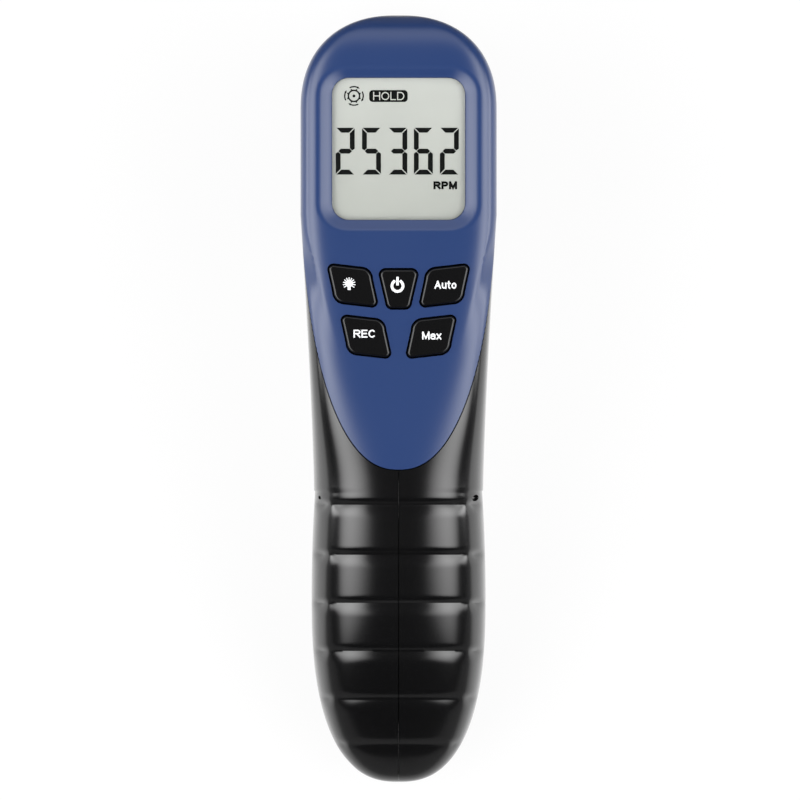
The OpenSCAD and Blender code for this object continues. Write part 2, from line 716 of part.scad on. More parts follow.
// Block that holds the laser and the receiving lens square to the nose
block_flange_t = 3;
tube_wall = 2;
lens_seat = 2;
module optics_block() {
    laser_hole = laser_d / 2 + fit_gap;
    lens_hole = lens_d / 2 + fit_gap;
    color([0.14, 0.14, 0.15]) translate([0, y_nose, bezel_l]) difference() {
        union() {
            cylinder(d = nose_d + bezel_lip, h = block_flange_t);
            translate([0, laser_off, 0]) cylinder(r = laser_hole + tube_wall, h = tube_l);
            translate([0, -lens_off, 0]) cylinder(r = lens_hole + tube_wall, h = tube_l);
        }
        translate([0, laser_off, lens_seat]) cylinder(r = laser_hole, h = tube_l);
        translate([0, laser_off, -EPS]) cylinder(r = laser_hole - 1.5, h = tube_l);
        translate([0, -lens_off, lens_seat]) cylinder(r = lens_hole, h = tube_l);
        translate([0, -lens_off, -EPS]) cylinder(r = lens_hole - 1, h = tube_l);
    }
}

optics_z = bezel_l + lens_seat;
module laser_module() {
    color([0.78, 0.62, 0.28]) translate([0, y_nose + laser_off, optics_z]) difference() {
        cylinder(d = laser_d, h = laser_l);
        translate([0, 0, -EPS]) cylinder(d = laser_d / 3, h = laser_l / 4);
    }
}

lens_t = 2;
lens_bulge = 2.4;
module receiver_lens() {
    r = lens_d / 2;
    ball = (r * r + lens_bulge * lens_bulge) / (2 * lens_bulge);
    color([0.85, 0.90, 0.92]) translate([0, y_nose - lens_off, optics_z]) {
        cylinder(r = r, h = lens_t);
        intersection() {
            translate([0, 0, lens_t + lens_bulge - ball]) sphere(r = ball);
            translate([0, 0, lens_t - EPS]) cylinder(r = r, h = lens_bulge + 2 * EPS);
        }
    }
}

sensor_z = bezel_l + tube_l;
module photodiode() {
    color([0.20, 0.20, 0.24]) translate([0, y_nose - lens_off, sensor_z - 3]) cylinder(d = 5, h = 3);
}

module sensor_board() {
    color([0.10, 0.40, 0.22]) translate([-lens_d, y_nose - lens_off - lens_d, sensor_z])
        cube([2 * lens_d, 2 * lens_d - (lens_d - lens_off) + 2, board_t]);
}

// Nine-volt block with its two studs at the upper end
stud_d = 6;
stud_h = 2.6;
stud_x = 6.35;
module battery() {
    color([0.30, 0.32, 0.34]) battery_frame() {
        translate([-battery_w / 2, -battery_l / 2, -battery_t / 2]) cube([battery_w, battery_l, battery_t]);
        for (s = [-1, 1]) translate([s * stud_x, battery_l / 2 - EPS, 0]) rotate([-90, 0, 0])
            cylinder(d = stud_d, h = stud_h + EPS);
    }
}

snap_t = 5;
module battery_snap() {
    color([0.07, 0.07, 0.07]) battery_frame() difference() {
        translate([-battery_w / 2, battery_l / 2 + 0.1, -battery_t / 2 + 2])
            cube([battery_w, snap_t, battery_t - 4]);
        for (s = [-1, 1]) translate([s * stud_x, battery_l / 2, 0]) rotate([-90, 0, 0])
            cylinder(d = stud_d + 2 * fit_gap, h = stud_h + 0.3);
    }
}

// Door of the battery room: cut from the front of the grip, with a tab and a screw
door_rib_t = 1.6;
module battery_door() {
    color([0.08, 0.08, 0.09]) difference() {
        union() {
            intersection() {
                body_wall();
                translate([-door_w / 2, y_door - door_l, -EPS]) cube([door_w, door_l, lug_z - door_gap]);
            }
            intersection() {
                body_solid(wall / 2);
                for (k = [1:8]) hull() translate([-door_w / 2 + 2, y_door - k * door_l / 9, 0])
                    cube([door_w - 4, door_rib_t, foot_z(y_door - k * door_l / 9, wall) + 1]);
            }
        }
        translate([0, door_screw_y, -EPS])
            cylinder(d = board_screw_d + 2 * fit_gap, h = battery_z, $fn = HULL_FN);
        translate([0, door_screw_y, -EPS])
            cylinder(d = SCREW_HEAD_W * board_screw_d + 2 * fit_gap,
                h = door_screw_z + SCREW_HEAD_T * board_screw_d + EPS, $fn = HULL_FN);
    }
}

module door_screw() {
    color([0.70, 0.70, 0.72]) translate([0, door_screw_y, door_screw_z])
        screw_solid(board_screw_d, door_screw_l);
}

// Pan-headed screw along +Z with a crossed slot in its head
module screw_solid(d, l) {
    difference() {
        union() {
            cylinder(d = SCREW_HEAD_W * d, h = SCREW_HEAD_T * d);
            cylinder(d = d, h = l);
        }
        for (a = [0, 90]) rotate(a) translate([-0.6 * d, -0.12 * d, -EPS])
            cube([1.2 * d, 0.24 * d, 0.4 * d]);
    }
}

module shell_screws() {
    color([0.70, 0.70, 0.72]) for (s = screw_spots)
        translate([-screw_x - screw_head_t, s[0], s[1]]) rotate([0, 90, 0])
            screw_solid(screw_d, screw_l + screw_head_t);
}

module board_screws() {
    head_t = SCREW_HEAD_T * board_screw_d;
    grip = 4.5;
    color([0.70, 0.70, 0.72]) for (p = post_spots)
        translate([p[0], p[1], board_z - head_t]) screw_solid(board_screw_d, head_t + board_t + grip);
}

left_shell();
right_shell();
face_panel();
display_window();
lcd_glass();
backlight_plate();
lcd_strips();
main_board();
keypad_mat();
key_light();
key_power();
key_auto();
key_recall();
key_max();
trigger();
trigger_pin();
trigger_spring();
trigger_board();
trigger_switch();
nose_bezel();
front_window();
optics_block();
laser_module();
receiver_lens();
photodiode();
sensor_board();
battery();
battery_snap();
battery_door();
door_screw();
shell_screws();
board_screws();
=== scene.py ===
"""Laser tachometer: the smooth casing, display, keys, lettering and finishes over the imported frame.

Lengths in the classes are millimetres in the frame's own axes: X is the width, +Y points to the
head and +Z out of the display. Meshes are written in metres, with every object at the origin.
"""

import logging
import math
from dataclasses import dataclass, field
from enum import Enum
from typing import Callable, Optional, Sequence, Union

import bmesh
import bpy
import numpy as np
from mathutils import Matrix, Vector

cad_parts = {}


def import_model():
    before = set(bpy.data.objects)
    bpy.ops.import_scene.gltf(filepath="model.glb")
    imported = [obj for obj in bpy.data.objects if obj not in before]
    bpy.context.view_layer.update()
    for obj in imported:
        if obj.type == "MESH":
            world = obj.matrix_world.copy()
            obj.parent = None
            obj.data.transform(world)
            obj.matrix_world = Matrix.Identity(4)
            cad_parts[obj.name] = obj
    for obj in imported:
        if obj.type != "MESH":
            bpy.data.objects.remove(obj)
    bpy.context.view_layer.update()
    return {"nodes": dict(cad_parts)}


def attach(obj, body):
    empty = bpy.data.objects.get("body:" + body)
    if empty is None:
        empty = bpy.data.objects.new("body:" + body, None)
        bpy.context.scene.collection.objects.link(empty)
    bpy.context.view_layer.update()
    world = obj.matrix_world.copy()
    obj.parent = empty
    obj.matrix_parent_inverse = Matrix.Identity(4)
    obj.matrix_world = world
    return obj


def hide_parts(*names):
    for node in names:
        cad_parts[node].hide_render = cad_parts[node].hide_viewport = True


LOG = logging.getLogger("tachometer")
MM = 0.001
ROOT = "casing"
ROUND_STEPS = 48
NOSE_STEPS = 96
MARK_STEPS = 40
DOOR_SCREW_Y = -42.4
DOOR_SCREW_L = 7.2
Point = Sequence[float]
Color = tuple[float, float, float]
Spot = tuple[float, float]
Obj = bpy.types.Object
Socket = bpy.types.NodeSocket
Material = bpy.types.Material


def srgb(red: int, green: int, blue: int) -> Color:
    """Linear colour of an 8-bit screen colour.

    Args:
        red: Red from 0 to 255.
        green: Green from 0 to 255.
        blue: Blue from 0 to 255.

    Returns:
        The three linear values that a shader takes.
    """
    def linear(level: int) -> float:
        """Linear value of one 8-bit level."""
        share = level / 255
        return share / 12.92 if share <= 0.04045 else ((share + 0.055) / 1.055) ** 2.4
    return linear(red), linear(green), linear(blue)


class Value:
    """A shader socket that takes Python arithmetic: each operation adds a Math node."""

    def __init__(self, nodes: "Nodes", socket: Socket) -> None:
        """Keeps the socket and the tree that new nodes go to."""
        self.nodes = nodes
        self.socket = socket

    def _math(self, operation: str, first: "Number", second: "Number" = 0.0) -> "Value":
        """Adds one Math node.

        Args:
            operation: Name of the Math node's operation.
            first: First operand.
            second: Second operand.

        Returns:
            The node's result.
        """
        node = self.nodes.node("ShaderNodeMath", {"operation": operation}, {0: first, 1: second})
        return Value(self.nodes, node.outputs[0])

    def __add__(self, other: "Number") -> "Value":
        """Sum."""
        return self._math("ADD", self, other)

    __radd__ = __add__

    def __mul__(self, other: "Number") -> "Value":
        """Product."""
        return self._math("MULTIPLY", self, other)

    __rmul__ = __mul__

    def __sub__(self, other: "Number") -> "Value":
        """Difference."""
        return self._math("SUBTRACT", self, other)

    def __rsub__(self, other: "Number") -> "Value":
        """Difference with the operands turned round."""
        return self._math("SUBTRACT", other, self)

    def __truediv__(self, other: "Number") -> "Value":
        """Quotient."""
        return self._math("DIVIDE", self, other)

    def above(self, level: float) -> "Value":
        """1 where the value is greater than a level, and 0 elsewhere."""
        return self._math("GREATER_THAN", self, level)

    def clamped(self) -> "Value":
        """The value kept between 0 and 1."""
        node = self.nodes.node("ShaderNodeClamp", {}, {"Value": self})
        return Value(self.nodes, node.outputs[0])


Number = Union[float, Value]


class Nodes:
    """A node tree of a material, a lamp, the world or a geometry modifier."""

    def __init__(self, tree: bpy.types.NodeTree) -> None:
        """Keeps the tree."""
        self.tree = tree

    def node(self, kind: str, settings: Optional[dict] = None,
             inputs: Optional[dict] = None) -> bpy.types.Node:
        """Adds a node, sets its options first and then its sockets.

        Args:
            kind: The node's type name.
            settings: Options such as a Math node's operation.
            inputs: Socket name or index to a value, a Value or a socket.

        Returns:
            The new node.
        """
        node = self.tree.nodes.new(kind)
        for key, value in (settings or {}).items():
            setattr(node, key, value)
        for key, value in (inputs or {}).items():
            self.feed(node.inputs[key], value)
        return node

    def feed(self, socket: Socket, value: object) -> None:
        """Links or sets one socket, from a Value, a socket, a colour or a number.

        Args:
            socket: The socket that takes the value.
            value: What it takes.
        """
        if isinstance(value, Value):
            value = value.socket
        if isinstance(value, Socket):
            self.tree.links.new(value, socket)
        elif isinstance(value, tuple) and len(value) == 3 and socket.type == "RGBA":
            socket.default_value = (*value, 1.0)
        else:
            socket.default_value = value

    def rays(self, *names: str) -> Value:
        """1 for rays of the named kinds, and 0 for the rest.

        Args:
            names: Outputs of the Light Path node.

        Returns:
            The sum, kept between 0 and 1.
        """
        path = self.node("ShaderNodeLightPath")
        total = Value(self, path.outputs[names[0]])
        for name in names[1:]:
            total = total + Value(self, path.outputs[name])
        return total.clamped()


class Shader(Nodes):
    """One material and its node tree, with a Principled shader to feed."""

    def __init__(self, name: str) -> None:
        """Makes an empty material of that name with a Principled shader.

        Args:
            name: Name of the material.
        """
        self.material = bpy.data.materials.new(name)
        self.material.use_nodes = True
        super().__init__(self.material.node_tree)
        self.bsdf = self.tree.nodes["Principled BSDF"]
        self.output = self.tree.nodes["Material Output"]

    def set(self, **sockets: object) -> None:
        """Sets or links sockets of the Principled shader, with _ for a blank in a name."""
        for key, value in sockets.items():
            self.feed(self.bsdf.inputs[key.replace("_", " ")], value)

    def place(self) -> Socket:
        """Object coordinates: every piece sits at the origin, so these are the frame's own."""
        return self.node("ShaderNodeTexCoord").outputs["Object"]

    def axis(self, name: str) -> Value:
        """One object coordinate, X, Y or Z, in metres."""
        split = self.node("ShaderNodeSeparateXYZ", {}, {0: self.place()})
        return Value(self, split.outputs[name])

    def noise(self, scale: float, detail: float = 2.0, stretch: Point = (1, 1, 1)) -> Value:
        """Noise over the frame.

        Args:
            scale: Spots for each metre.
            detail: Octaves of the noise.
            stretch: Scale along each axis.

        Returns:
            The noise, about 0.5 on average.
        """
        mapping = self.node("ShaderNodeMapping", {}, {"Vector": self.place(), "Scale": tuple(stretch)})
        node = self.node("ShaderNodeTexNoise", {}, {"Vector": mapping.outputs[0], "Scale": scale,
                                                    "Detail": detail})
        return Value(self, node.outputs["Fac"])

    def spots(self, scale: float) -> Value:
        """Distance to the nearest of many random points, for a moulded grain."""
        node = self.node("ShaderNodeTexVoronoi", {}, {"Vector": self.place(), "Scale": scale})
        return Value(self, node.outputs["Distance"])

    def mix(self, share: Number, first: object, second: object) -> Socket:
        """Mix of two colours by a share."""
        node = self.node("ShaderNodeMix", {"data_type": "RGBA"}, {0: share, 6: first, 7: second})
        return node.outputs[2]

    def bump(self, height: Value, depth: float) -> None:
        """Feeds a Bump node of that depth, in metres, to the Principled shader's normal."""
        node = self.node("ShaderNodeBump", {}, {"Height": height, "Distance": depth, "Strength": 1.0})
        self.set(Normal=node.outputs[0])


@dataclass(frozen=True)
class Moulded:
    """Moulded plastic or rubber: a base colour, a sheen and a fine spark-eroded grain."""

    name: str
    color: Color
    roughness: float
    grain: float
    grain_depth: float
    mottle: float
    coat: float = 0.0
    specular: float = 0.5

    def build(self) -> Material:
        """Makes the material.

        Returns:
            The material.
        """
        shader = Shader(self.name)
        drift = shader.noise(38.0, 3.0)
        dust = shader.noise(self.grain * 0.4, 2.0)
        lighter = tuple(min(1.0, level * (1 + self.mottle) + 0.002) for level in self.color)
        darker = tuple(level * (1 - self.mottle) for level in self.color)
        shader.set(Base_Color=shader.mix(drift * 0.7 + dust * 0.3, darker, lighter))
        shader.set(Roughness=(self.roughness - 0.02) + drift * 0.03 + dust * 0.01)
        shader.set(Specular_IOR_Level=self.specular, Coat_Weight=self.coat, Coat_Roughness=self.roughness)
        shader.bump(shader.spots(self.grain) * 0.7 + dust * 0.5, self.grain_depth * MM)
        return shader.material


@dataclass(frozen=True)
class Metal:
    """Bare metal with fine tool marks along one axis."""

    name: str
    color: Color
    roughness: float
    stretch: Point = (1.0, 1.0, 12.0)

    def build(self) -> Material:
        """Makes the material.

        Returns:
            The material.
        """
        shader = Shader(self.name)
        marks = shader.noise(900.0, 4.0, self.stretch)
        dull = tuple(level * 0.82 for level in self.color)
        shader.set(Base_Color=shader.mix(marks, dull, self.color), Metallic=1.0)
        shader.set(Roughness=(self.roughness - 0.06) + marks * 0.16)
        shader.bump(marks, 0.01 * MM)
        return shader.material


@dataclass(frozen=True)
class Clear:
    """A clear or tinted pane: mostly see-through, with a gloss."""

    name: str
    color: Color
    alpha: float
    roughness: float = 0.04

    def build(self) -> Material:
        """Makes the material.

        Returns:
            The material.
        """
        shader = Shader(self.name)
        haze = shader.noise(60.0, 2.0)
        shader.set(Base_Color=shader.mix(haze, self.color, tuple(level * 0.92 for level in self.color)))
        shader.set(Roughness=self.roughness + haze * 0.03, Alpha=(self.alpha - 0.02) + haze * 0.04)
        return shader.material


@dataclass(frozen=True)
class DisplayField:
    """The grey-green field of the display, with painted light that makes it a little lighter towards its
    head.
    """

    name: str
    # low is the colour at the field's foot, high the lighter colour of the painted light at its head
    low: Color
    high: Color
    foot_y: float
    head_y: float

    def build(self) -> Material:
        """Makes the material.

        Returns:
            The material.
        """
        shader = Shader(self.name)
        # painted light: the colour rises from the foot to the head of the field; the cloud and the grain are
        # random tone
        rise = (shader.axis("Y") / MM - self.foot_y) / (self.head_y - self.foot_y)
        cloud = shader.noise(45.0, 2.0)
        grain = shader.noise(5200.0, 1.0)
        share = (rise * 0.75 + cloud * 0.25 + (grain - 0.5) * 0.25).clamped()
        shader.set(Base_Color=shader.mix(share, self.low, self.high), Roughness=0.42 + cloud * 0.08)
        shader.set(Specular_IOR_Level=0.25)
        return shader.material


@dataclass(frozen=True)
class Board:
    """Lacquered circuit board with faint tracks under the lacquer."""

    name: str
    lacquer: Color
    track: Color

    def build(self) -> Material:
        """Makes the material.

        Returns:
            The material.
        """
        shader = Shader(self.name)
        lanes = shader.noise(420.0, 1.0, (1.0, 0.12, 1.0)).above(0.56)
        shader.set(Base_Color=shader.mix(lanes, self.lacquer, self.track), Roughness=0.3 + lanes * 0.08)
        shader.bump(lanes, 0.02 * MM)
        return shader.material


class Finish(Enum):
    """Every finish on the object, under names that the frame's own materials don't have."""

    BLUE = Moulded("panel_blue", srgb(30, 55, 104), 0.30, 2400.0, 0.0008, 0.012, 0.0, 0.85)
    BLACK = Moulded("casing_black", srgb(8, 8, 9), 0.19, 2600.0, 0.002, 0.10, 0.4, 0.85)
    KEY = Moulded("key_satin", srgb(8, 8, 9), 0.22, 3000.0, 0.002, 0.10, 0.0, 0.6)
    DARK = Moulded("nose_black", srgb(26, 26, 28), 0.5, 2200.0, 0.014, 0.10)
    WHITE_INK = Moulded("legend_white", srgb(238, 240, 242), 0.5, 4000.0, 0.004, 0.02)
    DISPLAY_INK = Moulded("display_ink", srgb(5, 6, 5), 0.5, 4000.0, 0.0, 0.05, 0.0, 0.05)
    DISPLAY_LIGHT = Moulded("display_cutout", srgb(205, 207, 200), 0.45, 4000.0, 0.0, 0.02, 0.0, 0.2)
    # painted light: the display field runs from a darker foot to a lighter head
    DISPLAY = DisplayField("display_field", srgb(178, 181, 174), srgb(204, 207, 201), 48.6, 86.9)
    DIFFUSER = Moulded("diffuser_white", srgb(232, 235, 236), 0.45, 1500.0, 0.01, 0.03)
    STRIP = Moulded("strip_pink", srgb(206, 150, 165), 0.7, 1600.0, 0.02, 0.08)
    MAT = Moulded("mat_grey", srgb(196, 196, 190), 0.75, 1600.0, 0.02, 0.06)
    WRAP = Moulded("battery_wrap", srgb(70, 74, 80), 0.32, 1800.0, 0.006, 0.08, 0.3)
    STEEL = Metal("plated_steel", (0.60, 0.60, 0.62), 0.30)
    BRASS = Metal("turned_brass", (0.72, 0.53, 0.24), 0.26)
    PANE = Clear("window_clear", srgb(60, 64, 62), 0.05)
    FILTER = Clear("filter_red", srgb(96, 14, 20), 0.66, 0.03)
    LENS = Clear("lens_clear", srgb(214, 226, 230), 0.34, 0.02)
    BOARD = Board("board_lacquer", srgb(16, 88, 48), srgb(34, 118, 66))

    def material(self) -> Material:
        """The finish's material, made at its first use."""
        return bpy.data.materials.get(self.value.name) or self.value.build()


class Solver(Enum):
    """Boolean solvers, in the order they are tried."""

    MANIFOLD = "MANIFOLD"
    EXACT = "EXACT"


class Cut(Enum):
    """What a boolean keeps."""

    TAKE = "DIFFERENCE"
    KEEP = "INTERSECT"
    JOIN = "UNION"


def linked(name: str, data: bpy.types.ID) -> Obj:
    """New object of a mesh, a lamp or a camera, linked to the scene.

    Args:
        name: Object name.
        data: What the object holds.

    Returns:
        The object.
    """
    obj = bpy.data.objects.new(name, data)
    bpy.context.scene.collection.objects.link(obj)
    return obj


def solid(name: str, points: Sequence[Point], faces: Sequence[Sequence[int]], weld: bool = False) -> Obj:
    """Mesh object from millimetre points.

    Args:
        name: Object name.
        points: Vertices in millimetres.
        faces: Vertex indices of each face.
        weld: True to merge vertices that lie on each other.

    Returns:
        The object, linked to the scene, with its faces turned outwards.
    """
    mesh = bpy.data.meshes.new(name)
    mesh.from_pydata([tuple(float(v) * MM for v in point) for point in points], [], [list(f) for f in faces])
    shape = bmesh.new()
    shape.from_mesh(mesh)
    if weld:
        bmesh.ops.remove_doubles(shape, verts=shape.verts, dist=1e-7)
        bmesh.ops.dissolve_degenerate(shape, edges=shape.edges, dist=1e-8)
    bmesh.ops.recalc_face_normals(shape, faces=shape.faces)
    shape.to_mesh(mesh)
    shape.free()
    return linked(name, mesh)


def stack(name: str, rings: Sequence[np.ndarray], first: Optional[Point] = None,
          last: Optional[Point] = None) -> Obj:
    """Closed solid through rings of equal count, capped at both ends.

    Args:
        name: Object name.
        rings: Arrays of points in millimetres, one row a point.
        first: Middle of the first cap, where its ring isn't flat.
        last: Middle of the last cap, where its ring isn't flat.

    Returns:
        The object.
    """
    count = len(rings[0])
    points = [tuple(point) for ring in rings for point in ring]
    faces: list[list[int]] = []
    for level in range(len(rings) - 1):
        low, high = level * count, (level + 1) * count
        faces += [[low + k, low + (k + 1) % count, high + (k + 1) % count, high + k] for k in range(count)]
    for start, middle in ((0, first), ((len(rings) - 1) * count, last)):
        if middle is None:
            faces.append([start + k for k in range(count)])
        else:
            points.append(tuple(middle))
            faces += [[start + k, start + (k + 1) % count, len(points) - 1] for k in range(count)]
    return solid(name, points, faces)


def prism(name: str, outline: np.ndarray, low: float, high: float) -> Obj:
    """Upright prism over an outline of (x, y) rows."""
    return stack(name, [np.c_[outline, np.full(len(outline), level)] for level in (low, high)])


def turned(name: str, profile: Sequence[Point], y: float, steps: int) -> Obj:
    """Body of revolution about an upright axis at x = 0.

    Args:
        name: Object name.
        profile: Closed outline of (radius, height) pairs.
        y: Place of the axis.
        steps: Facets round the axis.

    Returns:
        The object.
    """
    points: list[Point] = []
    for turn in (2 * math.pi * k / steps for k in range(steps)):
        points += [(r * math.cos(turn), y + r * math.sin(turn), height) for r, height in profile]
    count = len(profile)
    faces = [[k * count + j, k * count + (j + 1) % count,
              (k + 1) % steps * count + (j + 1) % count, (k + 1) % steps * count + j]
             for k in range(steps) for j in range(count)]
    return solid(name, points, faces, weld=True)


def settle(obj: Obj) -> Obj:
    """Takes the result of an object's modifiers as its mesh and removes them.

    Args:
        obj: The object.

    Returns:
        The same object.
    """
    graph = bpy.context.evaluated_depsgraph_get()
    mesh = bpy.data.meshes.new_from_object(obj.evaluated_get(graph))
    obj.modifiers.clear()
    obj.data = mesh
    return obj


def carve(obj: Obj, tool: Obj, cut: Cut) -> Obj:
    """Applies a boolean and removes the tool.

    Args:
        obj: The piece that changes.
        tool: The other solid.
        cut: What is kept.

    Returns:
        The piece.
    """
    before = obj.data
    for solver in Solver:
        modifier = obj.modifiers.new("cut", "BOOLEAN")
        modifier.operation = cut.value
        modifier.object = tool
        modifier.solver = solver.value
        settle(obj)
        if len(obj.data.polygons) > 0:
            break
        LOG.warning("%s: %s left nothing, trying the next solver", obj.name, solver.name)
        obj.data = before
    bpy.data.objects.remove(tool)
    return obj


def copy_of(obj: Obj, name: str) -> Obj:
    """A second object with its own copy of the mesh.

    Args:
        obj: The first object.
        name: Name of the second.

    Returns:
        The second object.
    """
    twin = obj.copy()
    twin.data = obj.data.copy()
    twin.name = name
    bpy.context.scene.collection.objects.link(twin)
    return twin


def soften(obj: Obj, width: float, segments: int, angle: float) -> Obj:
    """Rounds the edges sharper than an angle by a width in millimetres.

    Args:
        obj: The piece.
        width: Width of the round.
        segments: Facets across it.
        angle: Least angle of an edge, in degrees.

    Returns:
        The piece.
    """
    modifier = obj.modifiers.new("round", "BEVEL")
    modifier.width = width * MM
    modifier.segments = segments
    modifier.limit_method = "ANGLE"
    modifier.angle_limit = math.radians(angle)
    modifier.harden_normals = False
    return settle(obj)


def dress(obj: Obj, finish: Finish, angle: float = 32.0) -> Obj:
    """Gives a piece its finish and smooth shading up to an angle.

    Args:
        obj: The piece.
        finish: Its finish.
        angle: Edges sharper than this, in degrees, stay sharp.

    Returns:
        The piece.
    """
    obj.data.materials.clear()
    obj.data.materials.append(finish.material())
    for face in obj.data.polygons:
        face.material_index = 0
    obj.data.shade_smooth()
    obj.data.set_sharp_from_angle(angle=math.radians(angle))
    return obj


def smoothstep(start: float, end: float, at: np.ndarray) -> np.ndarray:
    """Smooth rise from 0 at start to 1 at end."""
    share = np.clip((at - start) / (end - start), 0, 1)
    return share * share * (3 - 2 * share)


def ease(start: float, end: float, at: float) -> float:
    """The smooth rise at one place."""
    return float(smoothstep(start, end, np.float64(at)))


def disc(center: Point, radius: float, steps: int) -> np.ndarray:
    """Outline of a disc."""
    turns = np.linspace(0, 2 * math.pi, steps + 1)[:-1]
    return np.array(center) + radius * np.c_[np.cos(turns), np.sin(turns)]


def corners(steps: int, place: Callable[[int, int], tuple[float, float, float]]) -> list[Spot]:
    """Outline with four round corners.

    Args:
        steps: Facets in each corner.
        place: The middle and the radius of the corner on the given sides, each -1 or 1.

    Returns:
        Points, anticlockwise from the +X side.
    """
    rows = []
    for start, u, v in ((0, 1, 1), (90, -1, 1), (180, -1, -1), (270, 1, -1)):
        x, y, radius = place(u, v)
        for turn in (math.radians(start + 90 * k / steps) for k in range(steps + 1)):
            rows.append((x + radius * math.cos(turn), y + radius * math.sin(turn)))
    return rows


@dataclass(frozen=True)
class BodyForm:
    """Outer and inner form of the bent casing, section by section along Y."""

    head_w: float = 53.0
    head_h: float = 76.0
    dome_l: float = 25.7
    neck_l: float = 74.3
    waist_w: float = 45.8
    waist_step: float = 0.3
    grip_w: float = 47.2
    butt_l: float = 49.9
    bend_r: float = 214.0
    butt_z: float = 12.0
    head_mid_z: float = 57.0
    wall: float = 2.4
    nose_proud: float = 2.0
    y_top: float = 103.9
    y_bot: float = -103.9
    y_neck: float = 49.9
    y_waist: float = -24.4
    y_heel: float = -87.9
    y_bend: float = 44.0
    hollow_z: float = 33.0
    ramp: Spot = (26.0, 46.0)
    front_slope: float = 0.42
    heel_soft: float = 4.0
    heel_in: float = 16.0
    groove_count: int = 6
    groove_from: float = 3.9
    groove_pitch: float = 13.6
    groove_close: float = 0.008
    groove_up: float = 2.0
    groove_down: float = 3.6
    groove_d: float = 1.1
    groove_end: float = 0.4
    seam_d: float = 8.0
    y_tongue: float = 45.0
    tongue_l: float = 63.9
    width_n: tuple[float, float, float] = (2.3, 1.35, 2.5)
    height_n: tuple[float, float, float] = (5.0, 3.0, 6.0)
    top_square: Spot = (2.8, 9.0)
    foot_square: Spot = (2.6, 9.0)
    hollow_soft: float = 4.0
    band: tuple[float, float, float] = (0.6, 48.0, 9.0)
    band_fade: Spot = (58.0, 84.0)
    steps: int = 1440

    @property
    def y_dome(self) -> float:
        """Where the head's dome starts."""
        return self.y_top - self.dome_l

    @property
    def y_butt(self) -> float:
        """Where the butt starts to round off."""
        return self.y_bot + self.butt_l

    @staticmethod
    def cap(share: float, n: float) -> float:
        """Superellipse quarter: 1 at a share of 0 or less, down to 0 at 1."""
        return 1.0 if share <= 0 else max(0.0, 1 - min(share, 1.0) ** n) ** (1 / n)

    @staticmethod
    def lerp(low: float, high: float, share: float) -> float:
        """Straight mix of two values."""
        return low + (high - low) * share

    def dome(self, y: float, inset: float, n: float) -> float:
        """Share of the full width or height left on the dome."""
        return self.cap((y - self.y_dome) / (self.dome_l - inset), n)

    def butt(self, y: float, inset: float, n: float) -> float:
        """Share of the full width or height left on the butt."""
        return self.cap((self.y_butt - y) / (self.butt_l - inset), n)

    def half_w(self, y: float, inset: float = 0.0) -> float:
        """Half of the width at a station.

        Args:
            y: Station along Y.
            inset: Distance in from the outer form.

        Returns:
            Half of the width.
        """
        dome_n, neck_n, butt_n = self.width_n
        if y >= self.y_neck:
            return (self.head_w / 2 - inset) * self.dome(y, inset, dome_n)
        if y >= self.y_waist:
            share = ((y - self.y_waist) / self.neck_l) ** neck_n
            return self.lerp(self.waist_w, self.head_w, share) / 2 - inset
        if y >= self.y_butt:
            share = ((y - self.y_butt) / (self.y_waist - self.y_butt)) ** 2
            return self.lerp(self.grip_w, self.waist_w - 2 * self.waist_step, share) / 2 - inset
        return (self.grip_w / 2 - inset) * self.butt(y, inset, butt_n)

    def back_z(self, y: float) -> float:
        """Height of the bent back, ahead of the caps."""
        return self.head_h - max(0.0, self.y_bend - y) ** 2 / (2 * self.bend_r)

    def top_z(self, y: float, inset: float = 0.0) -> float:
        """Height of the back at the middle.

        Args:
            y: Station along Y.
            inset: Distance in from the outer form.

        Returns:
            The height.
        """
        if y >= self.y_dome:
            return self.lerp(self.head_mid_z, self.head_h - inset, self.dome(y, inset, self.height_n[0]))
        if y >= self.y_butt:
            return self.back_z(y) - inset
        return self.lerp(self.butt_z, self.back_z(y) - inset, self.butt(y, inset, self.height_n[1]))

    def front_z(self, y: float) -> float:
        """Height of the underside, from the heel up into the finger hollow.

        Args:
            y: Station along Y.

        Returns:
            The height.
        """
        rise = math.hypot(self.front_slope * (y - self.y_heel), self.heel_soft) - self.heel_soft
        near = max(self.hollow_soft - abs(self.hollow_z - rise), 0) / self.hollow_soft
        return min(self.hollow_z, rise) - near * near

    def foot_z(self, y: float, inset: float = 0.0) -> float:
        """Height of the underside at the middle.

        Args:
            y: Station along Y.
            inset: Distance in from the outer form.

        Returns:
            The height.
        """
        if y < self.y_heel:
            share = (self.y_heel - y) / (self.heel_in - inset)
            return inset + (self.butt_z - inset) * (1 - math.sqrt(max(0.0, 1 - share * share)))
        if y >= self.y_dome:
            return self.lerp(self.head_mid_z, self.nose_proud + inset, self.dome(y, inset, self.height_n[2]))
        return inset + self.lerp(self.front_z(y), self.nose_proud, ease(*self.ramp, y))

    def mid_z(self, y: float) -> float:
        """Height of the widest line of a section."""
        middle = (self.top_z(y) + self.foot_z(y)) / 2
        return self.lerp(middle, self.head_mid_z, ease(self.y_waist, self.y_tongue, y))

    def top_n(self, y: float) -> float:
        """Squareness of a section's upper half."""
        return self.lerp(*self.top_square, ease(self.y_waist, self.y_neck, y))

    def foot_n(self, y: float) -> float:
        """Squareness of a section's lower half."""
        return self.lerp(*self.foot_square, ease(*self.ramp, y))

    def groove_y(self, k: int) -> float:
        """Place of one grip groove."""
        return self.y_waist - self.groove_from - k * self.groove_pitch * (1 - self.groove_close * k)

